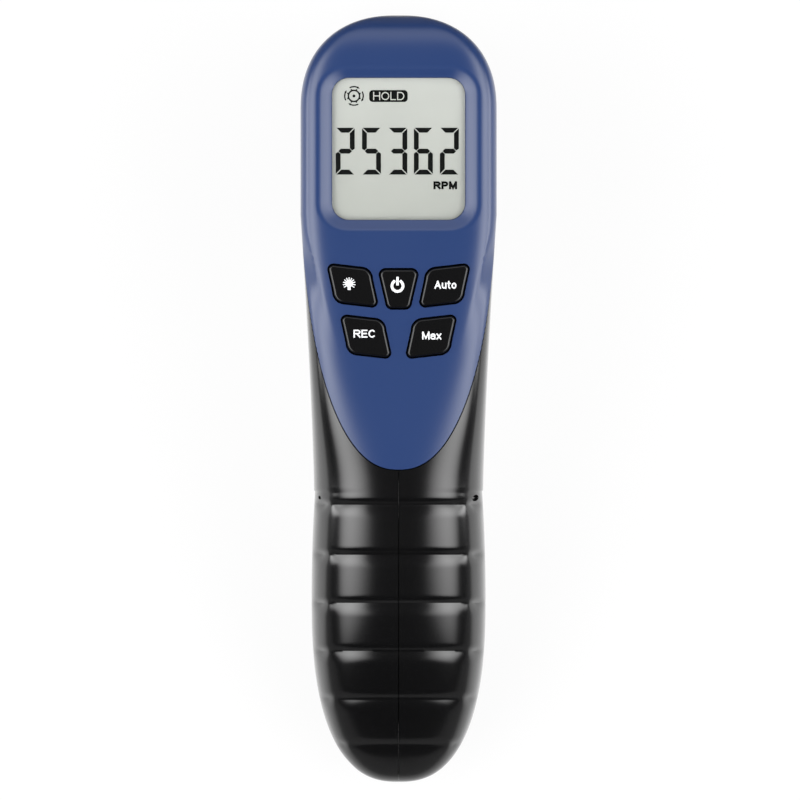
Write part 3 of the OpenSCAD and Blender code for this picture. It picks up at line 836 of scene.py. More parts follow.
    def groove_cut(self, y: float) -> float:
        """Depth of the grooves at a station: steep towards the head, gentle towards the butt.

        Args:
            y: Station along Y.

        Returns:
            The depth.
        """
        deepest = 0.0
        for k in range(self.groove_count):
            away = y - self.groove_y(k)
            share = min(1.0, away / self.groove_up if away > 0 else -away / self.groove_down)
            keep = self.lerp(1.0, self.groove_end, k / (self.groove_count - 1))
            deepest = max(deepest, (1 - share) ** 2 * keep)
        return self.groove_d * deepest

    def groove_share(self, turn: np.ndarray) -> np.ndarray:
        """Share of a groove's depth round the section, shallow at the corner bands and none at the sides.

        Args:
            turn: Angles round the section in degrees, 90 at the back.

        Returns:
            The share at each angle.
        """
        side = np.abs(90 - turn)
        less, middle, width = self.band
        return (1 - less * np.exp(-((side - middle) / width) ** 2)) * (1 - smoothstep(*self.band_fade, side))

    def section(self, y: float, inset: float, count: int) -> np.ndarray:
        """Closed ring of points round a section, evenly spaced along its length.

        Args:
            y: Station.
            inset: Distance in from the outer form.
            count: Points in the ring.

        Returns:
            Rows of (x, y, z) in millimetres, anticlockwise seen from -Y, from the +X side.
        """
        turn = np.linspace(-90, 270, self.steps + 1)[:-1]
        cos, sin = np.cos(np.radians(turn)), np.sin(np.radians(turn))
        up = sin >= 0
        power = np.where(up, 2 / self.top_n(y), 2 / self.foot_n(y))
        middle = self.mid_z(y)
        cut = np.zeros_like(turn)
        if inset == 0:
            cut = self.groove_cut(y) * self.groove_share(turn)
        height = np.where(up, self.top_z(y, inset) - middle - cut, middle - self.foot_z(y, inset))
        x = np.sign(cos) * np.maximum(self.half_w(y, inset) - cut, 0.02) * np.abs(cos) ** power
        z = middle + np.sign(sin) * height * np.abs(sin) ** power
        step = np.hypot(np.diff(x, append=x[0]), np.diff(z, append=z[0]))
        along = np.concatenate([[0], np.cumsum(step)])
        spots = np.linspace(0, along[-1], count + 1)[:-1]
        ring_x = np.interp(spots, along, np.append(x, x[0]))
        ring_z = np.interp(spots, along, np.append(z, z[0]))
        return np.c_[ring_x, np.full(count, y), ring_z]

    def seam_point(self, y: float) -> tuple[np.ndarray, np.ndarray]:
        """Point of the panel's edge on the +X side, and the outward direction there.

        Args:
            y: Station along Y.

        Returns:
            The point and the unit direction.
        """
        middle, top = self.mid_z(y), self.top_z(y)
        n = self.top_n(y)
        share = self.cap((self.y_tongue - y) / self.tongue_l, self.width_n[0])
        height = max(self.back_z(y) - self.seam_d, middle + (top - middle) * self.cap(share, n))
        width = self.half_w(y)
        rise = (height - middle) / (top - middle)
        x = width * self.cap(rise, n)
        out = np.array([(x / width) ** (n - 1) / width, 0, rise ** (n - 1) / (top - middle)])
        return np.array([x, y, height]), out / np.linalg.norm(out)


def rounded(center: Point, width: float, length: float, radius: float, steps: int = 10) -> np.ndarray:
    """Outline of a rounded rectangle.

    Args:
        center: Its middle as (x, y).
        width: Size along X.
        length: Size along Y.
        radius: Radius of its corners.
        steps: Facets in each corner.

    Returns:
        Rows of (x, y), anticlockwise.
    """
    return np.array(corners(steps, lambda u, v: (center[0] + u * (width / 2 - radius),
                                                 center[1] + v * (length / 2 - radius), radius)))


def block(name: str, low: Point, high: Point) -> Obj:
    """Box between two corners."""
    outline = np.array([(low[0], low[1]), (high[0], low[1]), (high[0], high[1]), (low[0], high[1])])
    return prism(name, outline, low[2], high[2])


def bar(name: str, start: float, end: float, y: float, z: float, radius: float) -> Obj:
    """Round bar along X."""
    ring = disc((y, z), radius, ROUND_STEPS)
    return stack(name, [np.c_[np.full(ROUND_STEPS, x), ring] for x in (start, end)])


def post(name: str, x: float, y: float, low: float, high: float, radius: float) -> Obj:
    """Upright round post."""
    return prism(name, disc((x, y), radius, ROUND_STEPS), low, high)


class KeyKind(Enum):
    """Outlines of the keys."""

    SIDE = "side"
    POWER = "power"


@dataclass(frozen=True)
class Key:
    """One key: its place, its outline and its cap."""

    node: str
    body: str
    x: float
    y: float
    kind: KeyKind
    lean: int
    width: float = 11.7
    length: float = 10.6
    fall: float = 1.42
    lean_by: float = 2.4
    wide_r: float = 3.2
    tight_r: float = 1.5
    power_r: float = 1.8
    power_w: float = 10.5
    power_foot_w: float = 7.0
    power_more_l: float = 0.4
    gap: float = 0.35
    proud: float = 0.7
    bevel: float = 0.6
    flat_in: float = 0.15
    foot_z: float = 69.5
    flange_t: float = 1.2
    flange_w: float = 0.9
    corner_steps: int = 12
    edge_steps: int = 7

    def radius(self, u: int, v: int) -> float:
        """Radius of one corner: a side key has two wide and two tight ones, like a leaf.

        Args:
            u: Side along X, -1 or 1.
            v: Side along Y, -1 or 1.

        Returns:
            The radius.
        """
        if self.kind is KeyKind.POWER:
            return self.power_r
        return self.wide_r if u == v else self.tight_r

    def corner(self, u: int, v: int) -> tuple[float, float]:
        """Middle of one corner's arc, from the key's own middle.

        Args:
            u: Side along X, -1 or 1.
            v: Side along Y, -1 or 1.

        Returns:
            The middle as (x, y).
        """
        r = self.radius(u, v)
        if self.kind is KeyKind.POWER:
            half = (self.power_w if v > 0 else self.power_foot_w) / 2
            return u * (half - r), v * ((self.length + self.power_more_l) / 2 - r)
        return (u * (self.width / 2 - r) - v * (self.lean_by / 2 - r * self.lean_by / self.length),
                v * (self.length / 2 - r) - u * (self.fall / 2 - r * self.fall / self.width))

    def outline(self, inset: float, steps: int) -> np.ndarray:
        """Outline of the key's hole, drawn in by an inset.

        Args:
            inset: Distance in from the hole's edge.
            steps: Facets in each corner.

        Returns:
            Rows of (x, y), anticlockwise.
        """
        rows = corners(steps, lambda u, v: (*self.corner(u, v), self.radius(u, v) - inset))
        spots = [(self.x + self.lean * x, self.y + y) for x, y in rows]
        return np.array(spots if self.lean > 0 else spots[::-1])

    def top_z(self, form: BodyForm, y: float) -> float:
        """Height of the cap's face at a place along Y."""
        slope = max(0.0, form.y_bend - self.y) / form.bend_r
        return form.back_z(self.y) + self.proud + slope * (y - self.y)

    def build(self, form: BodyForm) -> Obj:
        """Makes the cap with a rounded edge, on its flange.

        Args:
            form: Form of the casing that the cap follows.

        Returns:
            The cap.
        """
        flange_z, flange_in = self.foot_z + self.flange_t, self.gap - self.flange_w
        rings = []
        for inset, level in ((flange_in, self.foot_z), (flange_in, flange_z), (self.gap, flange_z)):
            flat = self.outline(inset, self.corner_steps)
            rings.append(np.c_[flat, np.full(len(flat), level)])
        edge = [(self.gap + self.bevel * (1 - math.cos(turn)), self.bevel * (1 - math.sin(turn)))
                for turn in np.radians(np.linspace(0, 90, self.edge_steps + 1))]
        for inset, drop in (*edge, (self.gap + self.bevel + self.flat_in, 0.0)):
            flat = self.outline(inset, self.corner_steps)
            tops = np.array([self.top_z(form, y) for y in flat[:, 1]])
            rings.append(np.c_[flat, tops - drop])
        return stack(self.node + "_cap", rings)


KEYS = (
    Key("key_light", "light_key", -12.4, 30.8, KeyKind.SIDE, 1),
    Key("key_power", "power_key", 0.0, 29.9, KeyKind.POWER, 1),
    Key("key_auto", "auto_key", 12.4, 30.8, KeyKind.SIDE, -1),
    Key("key_recall", "recall_key", -8.8, 17.0, KeyKind.SIDE, 1),
    Key("key_max", "max_key", 8.8, 17.0, KeyKind.SIDE, -1),
)
DOOR_SCREW_Z = BodyForm().foot_z(DOOR_SCREW_Y) + 0.2


@dataclass(frozen=True)
class FaceForm:
    """The sunk display rim and the side facets, as a drop of the casing's upper face."""

    y_display: float = 67.7
    window_w: float = 35.9
    window_l: float = 38.3
    window_r: float = 4.6
    rim_side: float = 3.9
    rim_end: float = 2.9
    rim_d: float = 1.6
    rim_soft: float = 0.09
    facet_from: Spot = (8.0, 36.0)
    facet_to: Spot = (37.0, 47.0)
    crease: tuple[float, float, float] = (18.6, 21.6, 0.266)
    crease_soft: float = 0.6

    def rim_drop(self, x: np.ndarray, y: float) -> np.ndarray:
        """Depth of the sunk rim at points of one station.

        Args:
            x: Places across the width.
            y: Station along Y.

        Returns:
            The depth at each place.
        """
        across = np.maximum(np.abs(x) - (self.window_w / 2 - self.window_r), 0)
        along = max(abs(y - self.y_display) - (self.window_l / 2 - self.window_r), 0)
        reach = np.hypot(across, along)
        share = np.where(reach > 0, (across / np.maximum(reach, 1e-9)) ** 2, 0)
        width = self.rim_side * share + self.rim_end * (1 - share)
        out = (reach - self.window_r) / width
        rise = np.clip(1 - out, -1, 1)
        soft = self.rim_soft
        eased = np.where(np.abs(rise) < soft, (rise + soft) ** 2 / (4 * soft), np.maximum(rise, 0))
        return self.rim_d * np.minimum(eased, 1)

    def crease_x(self, y: float) -> float:
        """Half width of the front plateau, where the side facets start."""
        x, from_y, lean = self.crease
        return x + (y - from_y) * lean

    def facet_share(self, y: float) -> float:
        """How far the facet is cut at a station, from 0 to 1."""
        return ease(*self.facet_from, y) * (1 - ease(*self.facet_to, y))


@dataclass
class Casing:
    """The two shells, the face panel and the battery door, all cut from one smooth wall."""

    form: BodyForm
    face: FaceForm
    ring: int = 300
    inner_ring: int = 120
    coarse: float = 2.6
    pole: float = 88.6
    cap_steps: tuple[int, int] = (52, 58)
    head_from: float = 44.0
    pitches: tuple[float, float, float] = (0.5, 0.8, 0.42)
    far: float = 60.0
    past_y: float = 150.0
    past_z: Spot = (-20.0, 120.0)
    through: Spot = (60.0, 90.0)
    under: float = -1.0
    seam_gap: float = 0.22
    split_gap: float = 0.0025
    seam_half: float = 0.12
    seam_depth: float = 1.5
    seam_end: float = 2.4
    zone_reach: Spot = (-6.0, 8.0)
    zone_lid: float = 240.0
    pits: tuple[tuple[Spot, Point], ...] = (((20.9, -26.6), (2.2, 0.9, 1.9)),
                                            ((-21.4, -26.5), (1.4, 0.5, 0.9)))
    y_nose: float = 71.9
    nose_r: float = 21.15
    lip_r: float = 22.95
    lip_z: float = 6.05
    nose_top: float = 19.0
    slot: tuple[float, float, float] = (7.0, 0.8, 27.9)
    pivot: Spot = (24.9, 37.2)
    pin: Spot = (9.15, 1.35)
    pin_boss: Spot = (7.15, 3.0)
    shelf: tuple[Point, Point] = ((6.0, 5.9, 47.2), (60.0, 17.9, 48.8))
    door: tuple[float, float, float] = (15.0, -83.4, -38.4)
    door_gap: float = 0.25
    door_r: float = 2.4
    lug: tuple[float, float, float, float] = (5.0, 2.2, 4.0, 3.4)
    small_hole_r: float = 1.25
    door_head: Spot = (1.54, 2.185)
    screw_spots: tuple[Spot, ...] = ((95.9, 40), (36, 50), (-20, 44), (-97.9, 13))
    screw_head_r: float = 2.925
    screw_hole_r: float = 1.65
    screw_boss_r: float = 3.5
    screw_x: float = 8.0
    post_spots: tuple[Spot, ...] = ((-18, 43), (18, 43), (-10.5, 92.9), (10.5, 92.9), (0, 6))
    stud: tuple[float, float, float] = (65.6, 2.7, 1.2)
    stud_hole: Spot = (64.0, 70.6)
    frame: tuple[float, float, float] = (40.9, 43.9, 4.6)
    frame_z: tuple[float, float, float] = (71.4, 73.0, 74.2)
    pocket_more: float = 0.2
    opening: Spot = (3.0, 3.6)
    key_room: float = 0.15
    key_steps: int = 10
    pieces: dict[str, Obj] = field(default_factory=dict)

    @property
    def lug_z(self) -> float:
        """Underside of the lug that the door is screwed to."""
        return self.form.foot_z(self.door[2], self.form.wall) + 0.3

    def stations(self, fine: bool) -> list[float]:
        """Places of the sections from the butt to the head.

        Args:
            fine: True for the outer form, else wider apart.

        Returns:
            Places along Y.
        """
        form = self.form
        scale = 1.0 if fine else self.coarse
        turns = np.radians(np.linspace(self.pole, 0, int(self.cap_steps[0] / scale)))
        butt = form.y_butt - form.butt_l * np.sin(turns)
        last = form.groove_y(form.groove_count - 1) - form.groove_down
        rows = list(butt[butt < last])
        places = (last, form.y_waist, self.head_from, form.y_dome)
        for start, end, step in zip(places, places[1:], self.pitches):
            count = max(3, int((end - start) / (step * scale)))
            rows += list(np.linspace(start, end, count, endpoint=False))
        turns = np.radians(np.linspace(0, self.pole, int(self.cap_steps[1] / scale)))
        return rows + list(form.y_dome + form.dome_l * np.sin(turns))

    def loft(self, name: str, inset: float, fine: bool) -> Obj:
        """Closed body at an inset from the outer form, with the face worked in when it is the outer one.

        Args:
            name: Object name.
            inset: Distance in from the outer form.
            fine: True for the outer form's detail.

        Returns:
            The body.
        """
        rings = []
        form = self.form
        low, high = form.y_bot + inset, form.y_top - inset
        for y in self.stations(fine):
            place = low + (y - form.y_bot) * (high - low) / (form.y_top - form.y_bot) if inset else y
            ring = form.section(place, inset, self.ring if fine else self.inner_ring)
            rings.append(self.worked(ring, place) if inset == 0 else ring)
        return stack(name, rings)

    def worked(self, ring: np.ndarray, y: float) -> np.ndarray:
        """A ring of the outer form with the display rim and the side facets sunk into it.

        Args:
            ring: Points of the ring, which are moved.
            y: Its station.

        Returns:
            The same ring.
        """
        face = self.face
        upper = ring[:, 2] > self.form.mid_z(y)
        drop = np.where(upper, face.rim_drop(ring[:, 0], y), 0)
        share = face.facet_share(y)
        if share > 0:
            edge, _ = self.form.seam_point(y)
            start = face.crease_x(y)
            side = np.abs(ring[:, 0])
            inside = upper & (side > start) & (side < edge[0])
            if inside.any() and edge[0] > start + 0.3:
                quarter = ring[upper & (ring[:, 0] >= 0)]
                quarter = quarter[np.argsort(quarter[:, 0])]
                crest = np.interp(start, quarter[:, 0], quarter[:, 2])
                chord = crest + (edge[2] - crest) * (side - start) / (edge[0] - start)
                over = ring[:, 2] - chord
                soft = (over + np.hypot(over, face.crease_soft) - face.crease_soft) / 2
                drop = np.where(inside, np.maximum(drop, share * np.maximum(soft, 0)), drop)
        ring[:, 2] -= drop
        return ring

    def zone(self, gap: float) -> Obj:
        """Everything above the panel's edge, grown by a gap.

        Args:
            gap: How far the zone grows past the edge.

        Returns:
            The tool.
        """
        form = self.form
        steps = np.concatenate([np.linspace(0, 60, 40, endpoint=False), np.linspace(60, 86, 18)])
        stations = [form.y_tongue - form.tongue_l * math.cos(turn) for turn in np.radians(steps)]
        z_edge = form.head_h - form.seam_d - gap

        def ring(out: float) -> np.ndarray:
            """The edge as one loop from the tongue's tip, moved along the surface's outward direction.

            Args:
                out: How far it is moved.

            Returns:
                Rows of (x, y, z).
            """
            rows = []
            for index, y in enumerate(stations):
                spot, normal = form.seam_point(y)
                rows.append(spot + normal * out + np.array([gap if index else 0, -gap, -gap / 2]))
            ends = (form.y_tongue, form.y_top + self.far)
            right = np.array(rows + [np.array([form.head_w / 2 + out, y, z_edge]) for y in ends])
            right[0, 0] = 0
            return np.concatenate([right, right[:0:-1] * np.array([-1, 1, 1])])

        inner, outer = (ring(out) for out in self.zone_reach)
        lid = outer.copy()
        lid[:, 2] = self.zone_lid
        foot, top = ((0, form.y_tongue, level) for level in (z_edge, self.zone_lid))
        return stack("zone", [inner, outer, lid], foot, top)

    def ribs(self) -> Obj:
        """Bosses and ribs inside the shells, trimmed to the body.

        Returns:
            All of them as one solid.
        """
        far = self.far
        tools = [bar("boss", -far, far, y, z, self.screw_boss_r) for y, z in self.screw_spots]
        for s in (-1, 1):
            start, end = sorted((s * self.pin_boss[0], s * far))
            tools.append(bar("pin_boss", start, end, *self.pivot, self.pin_boss[1]))
            (x_in, y_low, z_low), (x_out, y_high, z_high) = self.shelf
            start, end = sorted((s * x_in, s * x_out))
            tools.append(block("shelf", (start, y_low, z_low), (end, y_high, z_high)))
        half, ahead, past, thick = self.lug
        tools.append(block("lug", (-half, DOOR_SCREW_Y - ahead, self.lug_z),
                           (half, self.door[2] + past, self.lug_z + thick)))
        ribs = tools[0]
        for tool in tools[1:]:
            carve(ribs, tool, Cut.JOIN)
        return carve(ribs, self.loft("trim", self.form.wall / 2, False), Cut.KEEP)

    def split_groove(self) -> Obj:
        """The fine open line that shows where the two shells meet.

        Returns:
            The tool that cuts it.
        """
        half, (low, high) = self.seam_half, self.past_z
        slab = block("line", (-half, self.form.y_bot + self.seam_end, low),
                     (half, self.form.y_top - self.seam_end, high))
        return carve(slab, self.loft("core", self.seam_depth, False), Cut.TAKE)

    @staticmethod
    def pit(wall: Obj, place: Spot, size: Point) -> Obj:
        """A small round pit where a line straight down meets the shell.

        Args:
            wall: The shell.
            place: Where the line stands, in x and y.
            size: The pit's three radii.

        Returns:
            The tool that cuts it.
        """
        bpy.context.view_layer.update()
        x, y = place
        _, spot, _, _ = wall.ray_cast((x * MM, y * MM, 0.2), (0, 0, -1))
        turns = np.radians(np.arange(0, 360, 15))
        rings = []
        for rise in np.radians(np.linspace(-84, 84, 13)):
            reach = math.cos(rise)
            level = spot[2] / MM + size[2] * math.sin(rise)
            rings.append(np.c_[x + size[0] * reach * np.cos(turns), y + size[1] * reach * np.sin(turns),
                               np.full(len(turns), level)])
        return stack("pit", rings)

    def door_plate(self, gap: float, high: float) -> Obj:
        """Tool over the battery door's outline, grown by a gap, up to a height.

        Args:
            gap: How far the outline grows.
            high: Height of the tool's top.

        Returns:
            The tool.
        """
        half, low_y, high_y = self.door
        outline = rounded((0, (low_y + high_y) / 2), 2 * (half + gap), high_y - low_y + 2 * gap,
                          self.door_r + gap)
        return prism("door", outline, self.under, high)

    def keep(self, node: str, piece: Obj, finish: Finish, angle: float = 32.0) -> None:
        """Names and dresses the piece that stands for a CAD node.

        Args:
            node: The CAD node.
            piece: The piece.
            finish: Its finish.
            angle: Edges sharper than this, in degrees, stay sharp.
        """
        piece.name = node + "_smooth"
        self.pieces[node] = dress(piece, finish, angle)
        LOG.info("%s: %d faces", node, len(piece.data.polygons))

    def build(self) -> None:
        """Makes the four pieces."""
        far, lug = self.far, self.lug_z
        wall = self.loft("wall", 0, True)
        carve(wall, self.loft("room", self.form.wall, False), Cut.TAKE)
        self.build_panel(copy_of(wall, "panel_work"))
        self.build_door(copy_of(wall, "door_work"))
        carve(wall, self.ribs(), Cut.JOIN)
        carve(wall, self.zone(self.seam_gap), Cut.TAKE)
        for low, radius in ((self.under, self.nose_r), (self.lip_z, self.lip_r)):
            rim = disc((0, self.y_nose), radius, NOSE_STEPS)
            carve(wall, prism("nose", rim, low, self.nose_top), Cut.TAKE)
        half, low, high = self.slot
        carve(wall, block("slot", (-half, low, self.under), (half, high, self.pivot[1])), Cut.TAKE)
        carve(wall, bar("pin", -self.pin[0], self.pin[0], *self.pivot, self.pin[1]), Cut.TAKE)
        carve(wall, self.door_plate(self.door_gap, lug), Cut.TAKE)
        hole = post("door_hole", 0, DOOR_SCREW_Y, lug - 1, lug + self.lug[3] + 1, self.small_hole_r)
        carve(wall, hole, Cut.TAKE)
        for y, z in self.screw_spots:
            carve(wall, bar("hole", -self.screw_x - 0.1, self.screw_x + 1, y, z, self.screw_hole_r), Cut.TAKE)
            carve(wall, bar("head", -far, -self.screw_x, y, z, self.screw_head_r), Cut.TAKE)
        carve(wall, self.split_groove(), Cut.TAKE)
        for place, size in self.pits:
            carve(wall, self.pit(wall, place, size), Cut.TAKE)
        halves = (("left_shell", -far, -self.split_gap), ("right_shell", self.split_gap, far))
        for name, low_x, high_x in halves:
            half_shell = copy_of(wall, name + "_work")
            room = block("half", (low_x, -self.past_y, self.past_z[0]), (high_x, self.past_y, self.past_z[1]))
            carve(half_shell, room, Cut.KEEP)
            self.keep(name, half_shell, Finish.BLACK)
        bpy.data.objects.remove(wall)

    def build_panel(self, panel: Obj) -> None:
        """Cuts the face panel with its window and key holes.

        Args:
            panel: A copy of the hollow wall.
        """
        face = self.face
        carve(panel, self.zone(0), Cut.KEEP)
        middle = (0, face.y_display)
        foot, radius, trim = self.stud
        for x, y in self.post_spots:
            stud = post("stud", x, y, foot, self.through[1], radius)
            carve(stud, self.loft("trim", trim, False), Cut.KEEP)
            carve(panel, stud, Cut.JOIN)
            carve(panel, post("stud_hole", x, y, *self.stud_hole, self.small_hole_r), Cut.TAKE)
        low, floor, high = self.frame_z
        carve(panel, prism("frame", rounded(middle, *self.frame), low, high), Cut.JOIN)
        more, (less, corner) = self.pocket_more, self.opening
        pocket = rounded(middle, face.window_w + more, face.window_l + more, face.window_r)
        carve(panel, prism("pocket", pocket, floor, self.through[1]), Cut.TAKE)
        opening = rounded(middle, face.window_w - less, face.window_l - less, corner)
        carve(panel, prism("opening", opening, *self.through), Cut.TAKE)
        for key in KEYS:
            hole = key.outline(-self.key_room, self.key_steps)
            carve(panel, prism("key_hole", hole, *self.through), Cut.TAKE)
        self.keep("face_panel", panel, Finish.BLUE, 28)

    def build_door(self, door: Obj) -> None:
        """Cuts the battery door with its screw hole.

        Args:
            door: A copy of the hollow wall.
        """
        carve(door, self.door_plate(0, self.lug_z - self.door_gap), Cut.KEEP)
        head_t, head_r = self.door_head
        for high, radius in ((self.lug_z, self.small_hole_r), (DOOR_SCREW_Z + head_t, head_r)):
            carve(door, post("hole", 0, DOOR_SCREW_Y, self.under, high, radius), Cut.TAKE)
        self.keep("battery_door", door, Finish.BLACK)


def arc_band(center: Point, radius: float, width: float, start: float, end: float,
             steps: int = MARK_STEPS) -> np.ndarray:
    """Outline of a band along an arc, with angles in degrees.

    Args:
        center: Middle of the arc.
        radius: Radius of the band's middle line.
        width: Width of the band.
        start: First angle.
        end: Last angle.
        steps: Facets along the arc.

    Returns:
        Rows of (x, y).
    """
    turns = np.radians(np.linspace(start, end, steps + 1))
    ray = np.c_[np.cos(turns), np.sin(turns)]
    return np.concatenate([np.array(center) + ray * (radius + width / 2),
                           (np.array(center) + ray * (radius - width / 2))[::-1]])


def bow(x: float, y: float, reach_x: float, reach_y: float, start: float, end: float) -> list[Spot]:
    """Points along an elliptic arc, with angles in degrees."""
    turns = np.radians(np.linspace(start, end, 15))
    return [(x + reach_x * math.cos(turn), y + reach_y * math.sin(turn)) for turn in turns]


def ray_at(degrees: float) -> np.ndarray:
    """Unit step in a direction."""
    return np.array([math.cos(math.radians(degrees)), math.sin(math.radians(degrees))])


def ribbon(path: np.ndarray, width: float) -> np.ndarray:
    """Outline of a stroke of even width along an open path, with mitred corners and square ends.

    Args:
        path: Rows of (x, y).
        width: Width of the stroke.

    Returns:
        Rows of (x, y) round the stroke.
    """
    unit = np.diff(path, axis=0)
    unit /= np.linalg.norm(unit, axis=1)[:, None]
    path = path.copy()
    path[0] -= unit[0] * width / 2
    path[-1] += unit[-1] * width / 2
    normal = np.c_[-unit[:, 1], unit[:, 0]]
    bend = 1 + (normal[:-1] * normal[1:]).sum(axis=1)
    corner = (normal[:-1] + normal[1:]) / np.maximum(bend, 0.45)[:, None]
    side = np.concatenate([normal[:1], corner, normal[-1:]]) * width / 2
    return np.concatenate([path + side, (path - side)[::-1]])


STEM = [(0, 0), (0, 1)]
GLYPHS: dict[str, tuple[float, list[list[Spot]]]] = {
    "R": (0.74, [STEM, [(0, 1), *bow(0.55, 0.75, 0.45, 0.25, 90, -90), (0, 0.5)], [(0.5, 0.48), (1, 0)]]),
    "P": (0.68, [STEM, [(0, 1), *bow(0.55, 0.73, 0.45, 0.27, 90, -90), (0, 0.46)]]),
    "M": (0.86, [STEM, [(0.02, 1), (0.5, 0.08), (0.98, 1)], [(1, 1), (1, 0)]]),
    "H": (0.72, [STEM, [(1, 0), (1, 1)], [(0, 0.52), (1, 0.52)]]),
    "O": (0.84, [bow(0.5, 0.5, 0.5, 0.5, 0, 359.8)]),
    "L": (0.56, [[(0, 1), (0, 0), (1, 0)]]),
    "D": (0.74, [STEM, [(0, 1), *bow(0.45, 0.5, 0.55, 0.5, 90, -90), (0, 0)]]),
    "A": (0.76, [[(0, 0), (0.5, 1)], [(0.5, 1), (1, 0)], [(0.22, 0.32), (0.78, 0.32)]]),
    "u": (0.5, [[(0, 0.72), *bow(0.5, 0.32, 0.5, 0.32, 180, 360), (1, 0.72)], [(1, 0.72), (1, 0)]]),
    "t": (0.3, [[(0.4, 0.98), *bow(0.85, 0.22, 0.45, 0.22, 180, 270)], [(0, 0.72), (1, 0.72)]]),
    "o": (0.54, [bow(0.5, 0.36, 0.5, 0.36, 0, 359.8)]),
    "E": (0.62, [[(1, 1), (0, 1), (0, 0), (1, 0)], [(0, 0.52), (0.9, 0.52)]]),
    "C": (0.76, [bow(0.52, 0.5, 0.52, 0.5, 48, 312)]),
    "a": (0.54, [[*bow(0.5, 0.5, 0.5, 0.22, 165, 0), (1, 0)],
                 [(1, 0.42), *bow(0.4, 0.21, 0.4, 0.21, 90, 270), (1, 0)]]),
    "x": (0.52, [[(0, 0), (1, 0.72)], [(0, 0.72), (1, 0)]]),
}


@dataclass(frozen=True)
class Lettering:
    """A word of plain upright print, drawn as strokes of even width."""

    words: str
    center: Spot
    width: float
    height: float
    stroke: float
    space: float = 0.13

    def build(self, name: str, low: float, high: float) -> Obj:
        """Makes the word.

        Args:
            name: Object name.
            low: Height of its underside.
            high: Height of its face.

        Returns:
            One solid a letter, joined in one object.
        """
        gap = self.space + self.stroke / self.height
        total = sum(GLYPHS[letter][0] for letter in self.words) + gap * (len(self.words) - 1)
        scale, rise = (self.width - self.stroke) / total, self.height - self.stroke
        left = self.center[0] - self.width / 2 + self.stroke / 2
        foot = self.center[1] - self.height / 2 + self.stroke / 2
        letters = []
        for letter in self.words:
            room, strokes = GLYPHS[letter]
            parts = []
            for stroke in strokes:
                path = np.array([(left + x * room * scale, foot + y * rise) for x, y in stroke])
                parts.append(prism("stroke", ribbon(path, self.stroke), low, high))
            for part in parts[1:]:
                carve(parts[0], part, Cut.JOIN)
            letters.append(parts[0])
            left += (room + gap) * scale
        return together(name, letters)


def together(name: str, parts: Sequence[Obj]) -> Obj:
    """Joins loose solids into one object of that name.

    Args:
        name: Object name.
        parts: The solids, which are removed.

    Returns:
        The object.
    """
    shape = bmesh.new()
    for part in parts:
        shape.from_mesh(part.data)
        bpy.data.objects.remove(part)
    mesh = bpy.data.meshes.new(name)
    shape.to_mesh(mesh)
    shape.free()
    return linked(name, mesh)


@dataclass
class Keypad:
    """The five caps and the white print on them."""

    form: BodyForm
    print_t: float = 0.02
    print_in: float = 0.12
    light_at: Spot = (-13.35, 31.3)
    bulb_r: float = 1.0
    socket: tuple[float, float, float] = (0.42, -1.7, -0.7)
    rays: int = 11
    ray_turn: Spot = (-36.0, 25.2)
    ray_reach: Spot = (1.12, 1.58)
    ray_w: float = 0.26
    power_at: Spot = (-0.3, 30.7)
    power_ring: Spot = (1.5, 0.74)
    power_turn: Spot = (128.0, 412.0)
    power_stem: Spot = (0.45, 2.1)
    stem_w: float = 0.68
    word_h: float = 2.15
    word_stroke: float = 0.38

    def sloped(self, obj: Obj, key: Key) -> Obj:
        """Moves print made on the level of zero onto a key's sloping face.

        Args:
            obj: The print.
            key: The key under it.

        Returns:
            The print.
        """
        for vertex in obj.data.vertices:
            vertex.co.z += key.top_z(self.form, vertex.co.y / MM) * MM
        return obj

    def light_icon(self) -> list[np.ndarray]:
        """A lamp: a bulb on its cap, with rays.

        Returns:
            Outlines as rows of (x, y).
        """
        middle = np.array(self.light_at)
        half, low, high = self.socket
        cap = middle + np.array([(-half, low), (half, low), (half, high), (-half, high)])
        shapes = [disc(middle, self.bulb_r, MARK_STEPS), cap]
        for k in range(self.rays):
            ray = ray_at(self.ray_turn[0] + self.ray_turn[1] * k)
            shapes.append(ribbon(np.array([middle + ray * reach for reach in self.ray_reach]), self.ray_w))
        return shapes

    def power_icon(self) -> list[np.ndarray]:
        """A broken ring with a stroke through its gap.

        Returns:
            Outlines as rows of (x, y).
        """
        middle = np.array(self.power_at)
        radius, width = self.power_ring
        return [ribbon(middle + np.array(bow(0, 0, radius, radius, *self.power_turn)), width),
                ribbon(middle + np.array([(0, y) for y in self.power_stem]), self.stem_w)]

    def legend(self, node: str) -> list[Obj]:
        """The print of one key, on the level of zero.

        Args:
            node: The key's CAD node.

        Returns:
            Loose solids.
        """
        words = {"key_auto": ("Auto", (12.65, 31.0), 5.95), "key_recall": ("REC", (-9.2, 17.8), 5.95),
                 "key_max": ("Max", (8.95, 17.3), 5.2)}
        if node in words:
            word = Lettering(*words[node], self.word_h, self.word_stroke)
            return [word.build("word", -self.print_in, self.print_t)]
        shapes = self.light_icon() if node == "key_light" else self.power_icon()
        return [prism("icon", shape, -self.print_in, self.print_t) for shape in shapes]

    def build(self) -> None:
        """Makes and dresses the caps and their print."""
        for key in KEYS:
            cap = dress(key.build(self.form), Finish.KEY, 40)
            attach(cap, key.body)
            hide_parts(key.node)
            legend = self.sloped(together(key.node + "_print", self.legend(key.node)), key)
            dress(legend, Finish.WHITE_INK)
            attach(legend, key.body)
            LOG.info("%s: cap and print", key.node)


